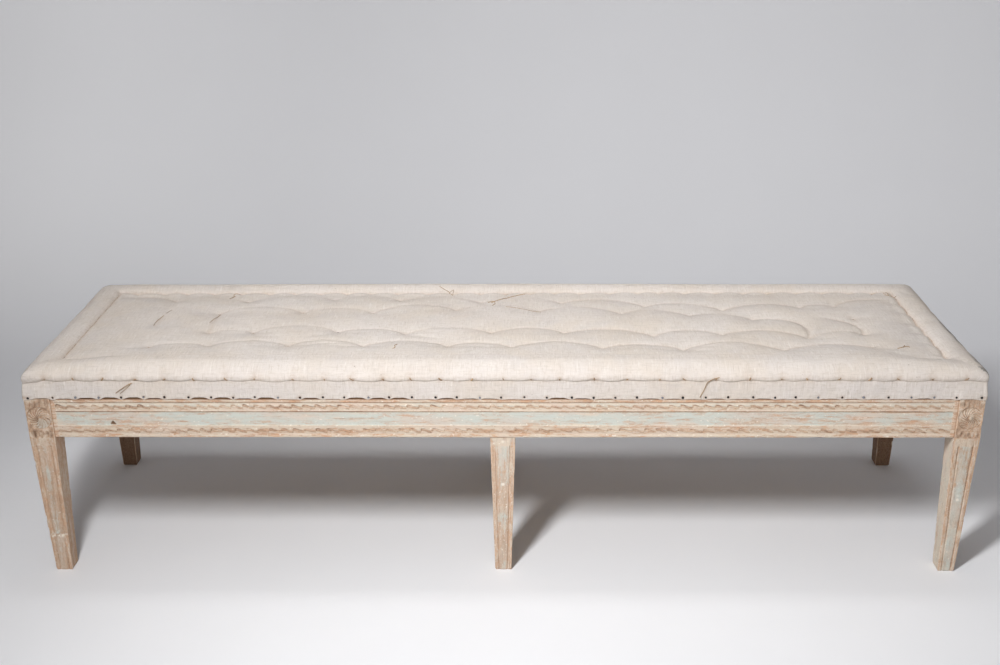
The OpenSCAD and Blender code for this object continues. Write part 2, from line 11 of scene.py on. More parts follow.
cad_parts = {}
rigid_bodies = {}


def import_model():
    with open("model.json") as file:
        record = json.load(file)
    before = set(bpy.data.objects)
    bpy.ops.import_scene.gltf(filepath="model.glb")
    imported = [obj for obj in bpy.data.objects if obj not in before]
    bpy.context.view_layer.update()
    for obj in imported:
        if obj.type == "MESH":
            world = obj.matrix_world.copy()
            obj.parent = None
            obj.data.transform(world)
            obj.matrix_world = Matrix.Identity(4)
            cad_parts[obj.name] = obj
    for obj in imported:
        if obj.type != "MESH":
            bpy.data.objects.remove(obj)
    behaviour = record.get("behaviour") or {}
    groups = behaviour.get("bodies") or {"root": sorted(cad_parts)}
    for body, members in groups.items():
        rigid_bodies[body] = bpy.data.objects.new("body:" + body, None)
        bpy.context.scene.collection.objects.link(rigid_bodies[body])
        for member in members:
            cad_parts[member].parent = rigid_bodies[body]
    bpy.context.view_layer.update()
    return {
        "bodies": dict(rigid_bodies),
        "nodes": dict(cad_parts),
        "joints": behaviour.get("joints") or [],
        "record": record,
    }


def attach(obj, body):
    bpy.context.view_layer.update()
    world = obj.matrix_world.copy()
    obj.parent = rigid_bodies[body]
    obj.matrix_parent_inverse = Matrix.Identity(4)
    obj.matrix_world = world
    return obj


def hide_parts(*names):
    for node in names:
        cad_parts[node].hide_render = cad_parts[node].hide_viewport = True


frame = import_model()
MM = 0.001

# Driving sizes of the frame, as in the CAD source
FRAME_L = 1.900
FRAME_D = 0.521
LEG_H = 0.313
RAIL_H = 0.093
RAIL_T = 0.026
RAIL_SET = 0.003
LEG_W = 0.051
FOOT_W = 0.034
TOP_Z = LEG_H + RAIL_H
HALF_L = FRAME_L / 2
HALF_D = FRAME_D / 2
LEG_X = HALF_L - LEG_W / 2
LEG_Y = HALF_D - LEG_W / 2
MID_Y = HALF_D - RAIL_SET - LEG_W / 2
LONG_SPAN = FRAME_L - 2 * LEG_W
END_SPAN = FRAME_D - 2 * LEG_W

# Seat levels and plan, as in the CAD source
ROLL_OUT = 0.004
ROLL_W = 0.066
OUT_X = HALF_L + ROLL_OUT
OUT_Y = HALF_D + ROLL_OUT
CREST_Z = TOP_Z + 0.059
LOW_SEAM_Z = TOP_Z + 0.030
SEAM_Z = CREST_Z - 0.010
HEM_Z = TOP_Z - 0.008
TACK_Z = HEM_Z + 0.0042

# Thickness of the cloths and size of the hessian
CLOTH_T = 0.0011
WEB_T = 0.0014
JUTE_T = 0.0009
HESSIAN = (1.888, 0.509)


# Noise and small curves

def lattice(ix, iy, iz, seed):
    """A repeatable value from -1 to 1 for each lattice point."""
    n = (ix * 374761393 + iy * 668265263 + iz * 1274126177 + seed * 974634777) & 0xFFFFFFFF
    n = ((n ^ (n >> 13)) * 1103515245) & 0xFFFFFFFF
    n = ((n ^ (n >> 16)) * 2654435761) & 0xFFFFFFFF
    n = n ^ (n >> 15)
    return (n & 0xFFFFFF) / float(0xFFFFFF) * 2 - 1


def noise(points, size, seed=0):
    """Smooth noise from -1 to 1 at points; size is a feature's size, one number or one for each axis."""
    p = np.asarray(points, float) / size
    base = np.floor(p).astype(np.int64)
    f = p - base
    f = f * f * (3 - 2 * f)
    total = 0
    for dx in (0, 1):
        for dy in (0, 1):
            for dz in (0, 1):
                weight = 1
                for axis, d in enumerate((dx, dy, dz)):
                    weight = weight * (f[..., axis] if d else 1 - f[..., axis])
                total = total + weight * lattice(base[..., 0] + dx, base[..., 1] + dy,
                                                 base[..., 2] + dz, seed)
    return total


def fbm(points, size, seed=0, octaves=3):
    """Noise with finer octaves at half the strength each."""
    total, strength = 0, 1
    for k in range(octaves):
        total = total + strength * noise(points, np.asarray(size, float) / 2 ** k, seed + 17 * k)
        strength /= 2
    return total / (2 - 2 * strength)


def plane(a, b):
    """Points with the coordinates a and b and no third one."""
    return np.stack([a, b, a * 0], -1)


def line_noise(x, size, seed=0):
    """Noise along a line."""
    x = np.asarray(x, float)
    return noise(plane(x, x * 0), size, seed)


def smooth(low, high, x):
    """0 below low, 1 above high and smooth between them."""
    t = np.clip((np.asarray(x, float) - low) / (high - low), 0, 1)
    return t * t * (3 - 2 * t)


def bell(x, width):
    """1 at x = 0, falling smoothly to nothing on both sides."""
    return np.exp(-(x / width) ** 2)


def lay(under, share, over):
    """over laid on under where share is 1."""
    return under * (1 - share) + share * over


def run_along(path):
    """Distance of each point of a path from its start, measured along it."""
    return np.concatenate([[0], np.cumsum(np.linalg.norm(np.diff(path, axis=0), axis=1))])


def spline(points, count):
    """Points evenly spaced along a smooth curve through the given ones."""
    p = np.asarray(points, float)
    p = np.vstack([2 * p[0] - p[1], p, 2 * p[-1] - p[-2]])
    fine = []
    for k in range(1, len(p) - 2):
        t = np.linspace(0, 1, 24, endpoint=k == len(p) - 3)[:, None]
        a, b, c, d = p[k - 1], p[k], p[k + 1], p[k + 2]
        fine.append(0.5 * (2 * b + (c - a) * t + (2 * a - 5 * b + 4 * c - d) * t ** 2
                           + (3 * b - 3 * c + d - a) * t ** 3))
    fine = np.vstack(fine)
    run = run_along(fine)
    at = np.linspace(0, run[-1], count)
    return np.stack([np.interp(at, run, fine[:, k]) for k in range(p.shape[1])], 1)


# Mesh helpers

def new_object(name, points, faces, material, node=None, attributes=None, sharp_angle=None):
    """A smooth-shaded piece on the frame's body and the CAD node that it replaces."""
    mesh = bpy.data.meshes.new(name)
    mesh.from_pydata(np.asarray(points, float).reshape(-1, 3).tolist(), [],
                     [list(map(int, f)) for f in faces])
    mesh.update()
    for key, values in (attributes or {}).items():
        vector = key in ("cloth", "grain")
        layer = mesh.attributes.new(key, "FLOAT_VECTOR" if vector else "FLOAT", "POINT")
        layer.data.foreach_set("vector" if vector else "value", np.asarray(values, np.float32).ravel())
    mesh.shade_smooth()
    if sharp_angle is not None:
        mesh.set_sharp_from_angle(angle=math.radians(sharp_angle))
    mesh.materials.append(material)
    o = bpy.data.objects.new(name, mesh)
    bpy.context.scene.collection.objects.link(o)
    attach(o, "root")
    if node is not None:
        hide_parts(node)
    return o


def grid_faces(rows, columns, close_rows=False, close_columns=False, start=0, flip=False):
    """Quads of a grid of points stored row by row."""
    i = np.arange(rows if close_rows else rows - 1)
    j = np.arange(columns if close_columns else columns - 1)
    i, j = np.meshgrid(i, j, indexing="ij")
    i2, j2 = (i + 1) % rows, (j + 1) % columns
    quads = np.stack([i * columns + j, i * columns + j2, i2 * columns + j2, i2 * columns + j], -1)
    quads = quads.reshape(-1, 4) + start
    return quads[:, ::-1] if flip else quads


def ring_faces(rows, columns):
    """Faces of a body stored ring by ring, closed at its first and last ring."""
    faces = grid_faces(rows, columns, close_columns=True).tolist()
    faces.append(list(range(columns))[::-1])
    faces.append(list(range((rows - 1) * columns, rows * columns)))
    return faces


def rim(rows, columns):
    """Numbers of the points round the edge of a grid, in order."""
    index = np.arange(rows * columns).reshape(rows, columns)
    return np.concatenate([index[0, :-1], index[:-1, -1], index[-1, :0:-1], index[:0:-1, 0]])


def shell(points, back, step=1):
    """A closed shell between an open grid and its back, which has every step-th point of it."""
    n = points.shape[0] * points.shape[1]
    faces = grid_faces(*points.shape[:2]).tolist()
    faces += grid_faces(*back.shape[:2], start=n, flip=True).tolist()
    a, b = rim(*points.shape[:2]), rim(*back.shape[:2]) + n
    for k in range(len(b)):
        edge = [a[(step * (k + 1) - j) % len(a)] for j in range(step + 1)]
        faces.append(edge + [b[k], b[(k + 1) % len(b)]])
    return np.concatenate([points.reshape(-1, 3), back.reshape(-1, 3)]), faces


def turned(points, turn, reach=0.0):
    """Points of a side, drawn facing -Y with its face on y = 0, moved to their own side."""
    p = np.array(points, float)
    x, y = p[..., 0].copy(), p[..., 1] - reach
    c, s = math.cos(turn), math.sin(turn)
    p[..., 0], p[..., 1] = c * x - s * y, s * x + c * y
    return p


def grid_normals(points):
    """Unit normals of an open grid of points."""
    du = np.gradient(points, axis=1)
    dv = np.gradient(points, axis=0)
    n = np.cross(du, dv)
    return n / np.maximum(np.linalg.norm(n, axis=-1, keepdims=True), 1e-12)


def tube(path, radius, sides=8):
    """Points and faces of a round tube along a path, closed at its ends."""
    path = np.asarray(path, float)
    along = np.gradient(path, axis=0)
    along /= np.linalg.norm(along, axis=1, keepdims=True)
    side = np.cross(along, [0.13, 0.21, 1.0])
    side /= np.linalg.norm(side, axis=1, keepdims=True)
    other = np.cross(along, side)
    turn = np.arange(sides) * 2 * math.pi / sides
    radius = np.broadcast_to(radius, len(path))[:, None, None]
    ring = (side[:, None] * np.cos(turn)[None, :, None] + other[:, None] * np.sin(turn)[None, :, None])
    points = (path[:, None] + ring * radius).reshape(-1, 3)
    return points, ring_faces(len(path), sides)


def joined(parts):
    """One list of points and faces from several."""
    points, faces, start = [], [], 0
    for p, f in parts:
        points.append(p)
        faces += [[v + start for v in face] for face in f]
        start += len(p)
    return np.concatenate(points), faces


# Material helpers

def linear(red, green, blue):
    """A display colour, 0 to 255, as the linear one that the shader takes."""
    def one(c):
        c /= 255
        return c / 12.92 if c <= 0.04045 else ((c + 0.055) / 1.055) ** 2.4
    return (one(red), one(green), one(blue), 1.0)


class Shader:
    """Builds one material's nodes."""

    def __init__(self, name, roughness=0.8, specular=0.3):
        self.material = bpy.data.materials.new(name)
        self.material.use_nodes = True
        self.tree = self.material.node_tree
        self.tree.nodes.clear()
        self.out = self.add("ShaderNodeOutputMaterial")
        self.main = self.add("ShaderNodeBsdfPrincipled")
        self.main.inputs["Roughness"].default_value = roughness
        self.main.inputs["Specular IOR Level"].default_value = specular
        self.link(self.main.outputs[0], self.out.inputs["Surface"])

    def add(self, kind, **values):
        node = self.tree.nodes.new(kind)
        for key, value in values.items():
            setattr(node, key, value)
        return node

    def link(self, source, target):
        self.tree.links.new(source, target)

    def put(self, socket, value):
        if isinstance(value, bpy.types.NodeSocket):
            self.link(value, socket)
        else:
            socket.default_value = value

    def position(self):
        return self.add("ShaderNodeTexCoord").outputs["Object"]

    def attribute(self, name, vector=False):
        node = self.add("ShaderNodeAttribute", attribute_name=name)
        return node.outputs["Vector" if vector else "Fac"]

    def scaled(self, vector, scale):
        node = self.add("ShaderNodeVectorMath", operation="MULTIPLY")
        self.put(node.inputs[0], vector)
        node.inputs[1].default_value = scale
        return node.outputs[0]

    def noise(self, vector, scale, detail=3.0, rough=0.55, distortion=0.0):
        """Noise from 0 to 1; scale is in features to a metre, one number or one for each axis."""
        if not isinstance(scale, (int, float)):
            vector, scale = self.scaled(vector, scale), 1.0
        node = self.add("ShaderNodeTexNoise")
        self.put(node.inputs["Vector"], vector)
        node.inputs["Scale"].default_value = scale
        node.inputs["Detail"].default_value = detail
        node.inputs["Roughness"].default_value = rough
        node.inputs["Distortion"].default_value = distortion
        return node.outputs["Fac"]

    def math(self, operation, a, b=0.0):
        node = self.add("ShaderNodeMath", operation=operation)
        for socket, value in zip(node.inputs, (a, b, 0.0)):
            self.put(socket, value)
        return node.outputs[0]

    def split(self, vector):
        node = self.add("ShaderNodeSeparateXYZ")
        self.put(node.inputs[0], vector)
        return node.outputs

    def ramp(self, value, low, high, start=0.0, end=1.0):
        """value mapped smoothly from low..high to start..end, held outside."""
        node = self.add("ShaderNodeMapRange", interpolation_type="SMOOTHSTEP")
        self.put(node.inputs["Value"], value)
        for key, number in zip(("From Min", "From Max", "To Min", "To Max"), (low, high, start, end)):
            node.inputs[key].default_value = number
        return node.outputs["Result"]

    def mix(self, share, a, b, blend="MIX"):
        node = self.add("ShaderNodeMix", data_type="RGBA", blend_type=blend)
        self.put(node.inputs["Factor"], share)
        self.put(node.inputs[6], a)
        self.put(node.inputs[7], b)
        return node.outputs[2]

    def plus(self, a, b):
        return self.math("ADD", a, b)

    def times(self, a, b):
        return self.math("MULTIPLY", a, b)

    def wave(self, value, length):
        """A sine from -1 to 1 along value, repeated at the length."""
        return self.math("SINE", self.times(value, 2 * math.pi / length))

    def sway(self, base, value, amount):
        """base moved up and down by a noise of 0 to 1."""
        return self.plus(base, self.times(self.math("SUBTRACT", value, 0.5), amount))

    def coat(self, under, value, limits, rgb):
        """under, covered by a display colour where value runs over the limits, as in ramp."""
        return self.mix(self.ramp(value, *limits), under, linear(*rgb))

    def bump(self, height, distance, strength=1.0):
        node = self.add("ShaderNodeBump")
        node.inputs["Strength"].default_value = strength
        node.inputs["Distance"].default_value = distance
        self.put(node.inputs["Height"], height)
        return node.outputs[0]

    def finish(self, colour=None, roughness=None, normal=None):
        if colour is not None:
            self.put(self.main.inputs["Base Color"], colour)
        if roughness is not None:
            self.put(self.main.inputs["Roughness"], roughness)
        if normal is not None:
            self.link(normal, self.main.inputs["Normal"])
        return self.material


# Camera, stage and lamps

def add_camera():
    """The photograph's view: a lens of 43.66 mm on a 36 mm sensor, looking down 21.6 degrees."""
    pitch, yaw, roll = (math.radians(a) for a in (21.56, -0.71, -0.29))
    forward = Vector((math.sin(yaw) * math.cos(pitch), math.cos(yaw) * math.cos(pitch), -math.sin(pitch)))
    right = Vector((math.cos(yaw), -math.sin(yaw), 0))
    up = right.cross(forward)
    side = math.cos(roll) * right + math.sin(roll) * up
    top = -math.sin(roll) * right + math.cos(roll) * up
    data = bpy.data.cameras.new("camera")
    data.sensor_fit = "HORIZONTAL"
    data.sensor_width = 36
    data.lens = 43.66
    data.clip_end = 50
    camera = bpy.data.objects.new("camera", data)
    turn = Matrix((side, top, -forward)).transposed().to_4x4()
    camera.matrix_world = Matrix.Translation((0.0225, -2.4367, 1.4005)) @ turn
    bpy.context.scene.collection.objects.link(camera)
    bpy.context.scene.camera = camera


def stage_material():
    """Near-white matt paper. Far from the stool the camera alone sees it a little brighter, as an
    evenly lit backdrop."""
    s = Shader("paper", roughness=1.0, specular=0.0)
    x, y = s.split(s.position())[:2]
    colour = s.mix(s.ramp(y, -0.9, 1.5), linear(241, 242, 245), linear(240, 241, 245))
    shade = s.times(s.ramp(x, -2.2, -0.5, 0.90, 1.0), s.ramp(x, 0.5, 2.8, 1.0, 0.95))
    blot = s.ramp(s.noise(s.position(), 3.0, detail=4), 0.3, 0.7, 0.985, 1.0)
    value = s.times(shade, blot)
    grey = s.add("ShaderNodeCombineColor")
    for k in range(3):
        s.link(value, grey.inputs[k])
    seen = s.add("ShaderNodeLightPath").outputs["Is Camera Ray"]
    far = s.ramp(y, 0.3, 1.9, 0.0, 0.14)
    left = s.times(s.ramp(x, -0.5, -1.7), s.ramp(y, 0.4, 1.9, 0.0, 0.12))
    s.put(s.main.inputs["Emission Strength"], s.times(seen, s.plus(far, left)))
    s.main.inputs["Emission Color"].default_value = (1.0, 1.0, 1.02, 1)
    # The paper fades into the pale surround far out to the front and the sides, and it is clear from behind
    fade = s.math("MAXIMUM", s.ramp(y, -1.3, -3.4), s.ramp(s.math("ABSOLUTE", x), 2.4, 4.4))
    fade = s.math("MAXIMUM", fade, s.add("ShaderNodeNewGeometry").outputs["Backfacing"])
    either = s.add("ShaderNodeMixShader")
    s.link(s.times(seen, fade), either.inputs[0])
    s.link(s.main.outputs[0], either.inputs[1])
    s.link(s.add("ShaderNodeBsdfTransparent").outputs[0], either.inputs[2])
    s.link(either.outputs[0], s.out.inputs["Surface"])
    return s.finish(colour=s.mix(1.0, colour, grey.outputs[0], "MULTIPLY"))


def add_stage():
    """A seamless paper sweep: floor, wide cove and wall."""
    bend, radius = 0.8, 1.6
    profile = [(-7.0, 0.0), (-3.0, 0.0), (bend, 0.0)]
    for k in range(1, 25):
        a = k / 24 * math.pi / 2
        profile.append((bend + radius * math.sin(a), radius * (1 - math.cos(a))))
    profile.append((bend + radius, 6.0))
    xs = np.linspace(-8, 8, 33)
    points = np.array([[(x, y, z) for x in xs] for y, z in profile])
    mesh = bpy.data.meshes.new("paper_sweep")
    mesh.from_pydata(points.reshape(-1, 3).tolist(), [], grid_faces(len(profile), len(xs)).tolist())
    mesh.shade_smooth()
    mesh.materials.append(stage_material())
    o = bpy.data.objects.new("paper_sweep", mesh)
    bpy.context.scene.collection.objects.link(o)


def add_lamp(name, place, target, size, power, spread=180):
    """A rectangular lamp, aimed at a target and unseen itself."""
    data = bpy.data.lights.new(name, "AREA")
    data.shape = "RECTANGLE"
    data.size, data.size_y = size
    data.energy = power
    data.spread = math.radians(spread)
    o = bpy.data.objects.new(name, data)
    o.location = place
    o.rotation_euler = (Vector(target) - Vector(place)).to_track_quat("-Z", "Y").to_euler()
    o.visible_camera = False
    bpy.context.scene.collection.objects.link(o)


def add_lamps():
    """A key lamp above the front left, turned to the right, a weak one overhead and a low front fill."""
    add_lamp("key", (-0.57, -1.64, 1.96), (0.95, 0.25, 0.2), (0.25, 0.58), 35, 140)
    add_lamp("overhead", (0.0, 0.16, 2.4), (0.0, 0.16, 0.4), (1.9, 0.3), 1.5, 50)
    add_lamp("front", (0.7, -3.4, 0.8), (0.4, 0.0, 0.2), (3.0, 1.0), 6)
    world = bpy.data.worlds.new("world")
    world.use_nodes = True
    background = world.node_tree.nodes["Background"]
    background.inputs["Color"].default_value = (1.02, 0.985, 0.97, 1)
    # The camera sees a pale surround, and the pieces are lit by a much weaker one
    path = world.node_tree.nodes.new("ShaderNodeLightPath")
    strength = world.node_tree.nodes.new("ShaderNodeMapRange")
    strength.inputs["To Min"].default_value = 0.200
    strength.inputs["To Max"].default_value = 0.78
    world.node_tree.links.new(path.outputs["Is Camera Ray"], strength.inputs["Value"])
    world.node_tree.links.new(strength.outputs[0], background.inputs["Strength"])
    bpy.context.scene.world = world
    bpy.context.scene.view_settings.view_transform = "Standard"


# Wood materials

def painted_wood():
    """Old distemper worn through to pine. Mesh attributes say where: wear, tone, the darkening
    attribute, which is grime and painted shade together, and the grain's own coordinates, whose first axis
    runs along the grain."""
    s = Shader("worn_paint", roughness=0.84, specular=0.2)
    grain = s.attribute("grain", vector=True)
    wear = s.attribute("wear")
    tone = s.attribute("tone")
    dirt_and_shade = s.attribute("dirt_and_shade")
    streak = s.noise(grain, (20, 290, 290), detail=4, rough=0.62)
    fine = s.noise(grain, (110, 720, 720), rough=0.65)
    patch = s.noise(grain, (44, 120, 120), detail=4, rough=0.62)
    wide = s.noise(grain, (11, 34, 34))
    speck = s.noise(grain, (300, 430, 430), rough=0.6)
    # Bare pine: pale early wood between browner late wood
    wood = s.mix(s.ramp(streak, 0.36, 0.68), linear(212, 184, 160), linear(184, 148, 122))
    wood = s.coat(wood, fine, (0.46, 0.78, 0.0, 0.65), (152, 116, 92))
    wood = s.coat(wood, patch, (0.50, 0.72, 0.0, 0.75), (206, 158, 124))
    # Paint: a cream ground, rosy in places, under a grey-green coat
    cool = s.sway(tone, patch, 1.0)
    cool = s.sway(cool, streak, 0.7)
    paint = s.mix(s.ramp(cool, 0.25, 0.85), linear(211, 196, 178), linear(197, 200, 192))
    paint = s.coat(paint, wide, (0.44, 0.72, 0.0, 0.55), (209, 187, 172))
    paint = s.coat(paint, streak, (0.50, 0.80, 0.0, 0.50), (178, 168, 152))
    paint = s.coat(paint, fine, (0.52, 0.78, 0.0, 0.40), (222, 212, 198))
    # The coat goes where wear, streaks and patches add up
    gone = s.sway(wear, streak, 1.0)
    gone = s.sway(gone, patch, 1.2)
    gone = s.sway(gone, fine, 1.0)
    bare = s.ramp(gone, 0.30, 0.76)
    thin = s.math("SUBTRACT", 0.98, s.times(tone, 0.38))
    colour = s.mix(s.times(bare, thin), paint, wood)
    # Pale flecks of gesso in the worn places, dark pores, and ochre and grime from the darkening attribute,
    # which paints shade as well as grime
    chip = s.times(s.ramp(gone, 0.34, 0.50), s.ramp(speck, 0.60, 0.70))
    colour = s.mix(s.times(chip, 0.60), colour, linear(232, 222, 206))
    fleck = s.ramp(s.noise(grain, (150, 250, 250), detail=1), 0.67, 0.74, 0.0, 0.75)
    colour = s.mix(fleck, colour, linear(232, 224, 212))
    pore = s.ramp(s.noise(grain, (200, 560, 560), detail=2), 0.58, 0.76, 0.0, 0.50)
    colour = s.mix(pore, colour, linear(146, 114, 92))
    ochre = s.sway(dirt_and_shade, patch, 0.6)
    colour = s.coat(colour, ochre, (0.04, 0.45, 0.0, 0.55), (186, 150, 120))
    grime = s.sway(dirt_and_shade, speck, 0.9)
    colour = s.coat(colour, grime, (0.16, 1.00, 0.0, 0.92), (104, 76, 56))
    colour = s.coat(colour, dirt_and_shade, (-0.60, -0.10, 0.90, 0.0), (234, 226, 213))
    height = s.math("SUBTRACT", s.times(streak, 0.35), s.times(bare, 0.45))
    height = s.plus(height, s.times(fine, 0.35))
    rough = s.ramp(bare, 0.0, 1.0, 0.88, 0.74)
    return s.finish(colour=colour, roughness=rough, normal=s.bump(height, 0.0006, 0.6))


def plain_wood(name, axis, pale, dark, stain_and_shade):
    """Unpainted old wood. axis is the one that the grain runs along."""
    s = Shader(name, roughness=0.78, specular=0.3)
    scale = [8.0 if k == axis else 260.0 for k in range(3)]
    fine = [40.0 if k == axis else 900.0 for k in range(3)]
    streak = s.noise(s.position(), scale, detail=4, rough=0.6, distortion=0.2)
    pores = s.noise(s.position(), fine, detail=2)
    blotch = s.noise(s.position(), 14.0)
    colour = s.mix(s.ramp(streak, 0.3, 0.7), linear(*pale), linear(*dark))
    colour = s.mix(s.ramp(pores, 0.55, 0.75, 0.0, 0.5), colour, linear(*[c * 0.7 for c in dark]))
    colour = s.mix(s.ramp(blotch, 0.45, 0.75, 0.0, 0.6), colour, linear(*stain_and_shade))
    height = s.plus(streak, s.times(pores, 0.5))
    return s.finish(colour=colour, roughness=s.ramp(pores, 0.3, 0.8, 0.7, 0.88),
                    normal=s.bump(height, 0.0008, 0.5))


# The four sides

class Side:
    """One side of the stool, drawn facing -Y with its blocks' face on y = 0 and turned into place."""

    def __init__(self, name, number, turn, reach, half, span, tacks, inset):
        self.name, self.number, self.turn, self.reach = name, number, turn, reach
        self.half, self.span = half, span
        # One tack on each block and the rest along the rail, with a hand's error
        inner = np.linspace(-span / 2 + 0.008, span / 2 - 0.008, tacks - 2)
        error = 0.0035 * line_noise(np.arange(tacks - 2) * 1.7, 1.0, 401 + number)
        error[[0, -1]] = 0
        self.tacks = np.concatenate([[inset - half], inner + error, [half - inset]])

    def placed(self, points):
        return turned(points, self.turn, self.reach)

    def ground(self, x):
        """How far the cloth lies behind the block's face: it bridges the step down to the rail."""
        return RAIL_SET * smooth(0.0, 0.018, self.span / 2 - np.abs(x))

    def stitches(self, x):
        """Pull and phase of the stitches in the seam under the roll."""
        return stitch_wave(x + 0.02 * self.number, 320 + self.number)


SIDES = {
    "front": Side("front", 0, 0.0, HALF_D, HALF_L, LONG_SPAN, 43, 0.010),
    "right": Side("right", 1, math.pi / 2, HALF_L, HALF_D, END_SPAN, 11, 0.016),
    "rear": Side("rear", 2, math.pi, HALF_D, HALF_L, LONG_SPAN, 43, 0.010),
    "left": Side("left", 3, -math.pi / 2, HALF_L, HALF_D, END_SPAN, 11, 0.016),
}


# Rails

PITCH = 0.0234        # length of one leaf of the carved twist
BAND_H = 0.017
UPPER_BAND = RAIL_H - 0.016 - BAND_H / 2
LOWER_BAND = 0.007 + BAND_H / 2
FIELD_LOW, FIELD_HIGH = 0.027, 0.057
ASTRAGAL_W, ASTRAGAL_H = 0.005, 0.002    # half width and height of the rounded moulding in a band


def step_in(v, half, soft=0.0008):
    """1 inside a strip of the given half width and 0 outside, with a short worn slope."""
    return 1 - smooth(half - soft, half + soft, np.abs(v))


def twist(x, v, seed, force):
    """Depth of the twist of leaves cut into an astragal, x along it and v across it, and its darkening in the
    cuts: grime and painted shade.
    """
    run = x / PITCH + 0.10 * line_noise(x, 0.07, seed) + 0.05 * line_noise(x, 0.021, seed + 1)
    cell = np.floor(run)
    t = run - cell
    vary = line_noise(cell * 1.37 + 0.5, 1.0, seed + 2)
    lean = 0.0017 * (1 + 0.45 * vary)
    line = lean * (1 - 2 * t) + 0.0009 * np.sin(2 * math.pi * t) + 0.0005 * line_noise(x, 0.009, seed + 3)
    above = v - line
    window = smooth(0.0, 0.10, t) * (1 - smooth(0.86, 1.0, t))
    deep = force * np.clip(0.85 + 0.45 * vary, 0.25, 1.3)
    cut = 0.0013 * bell(above, 0.00085) * window * deep
    ledge = 0.0007 * smooth(-0.0034, -0.0002, above) * (above < 0) * window * deep
    ends = np.minimum(t, 1 - t) * PITCH
    comma = 0.0008 * bell(ends, 0.0016) * step_in(v, 0.0030, 0.0012) * deep
    within = np.abs(v) < 0.0054
    depth = (cut + ledge + comma) * within
    broken = 0.70 + 0.55 * noise(plane(x, v), (0.0042, 0.0016, 1), seed + 4)
    # The cuts darken with painted shade as well as grime
    dark = (cut / 0.0013 * (0.50 + 0.50 * smooth(0.7, 0.1, t)) + comma / 0.0016) * broken
    return depth, np.clip(dark, 0, 1.1) * within, above


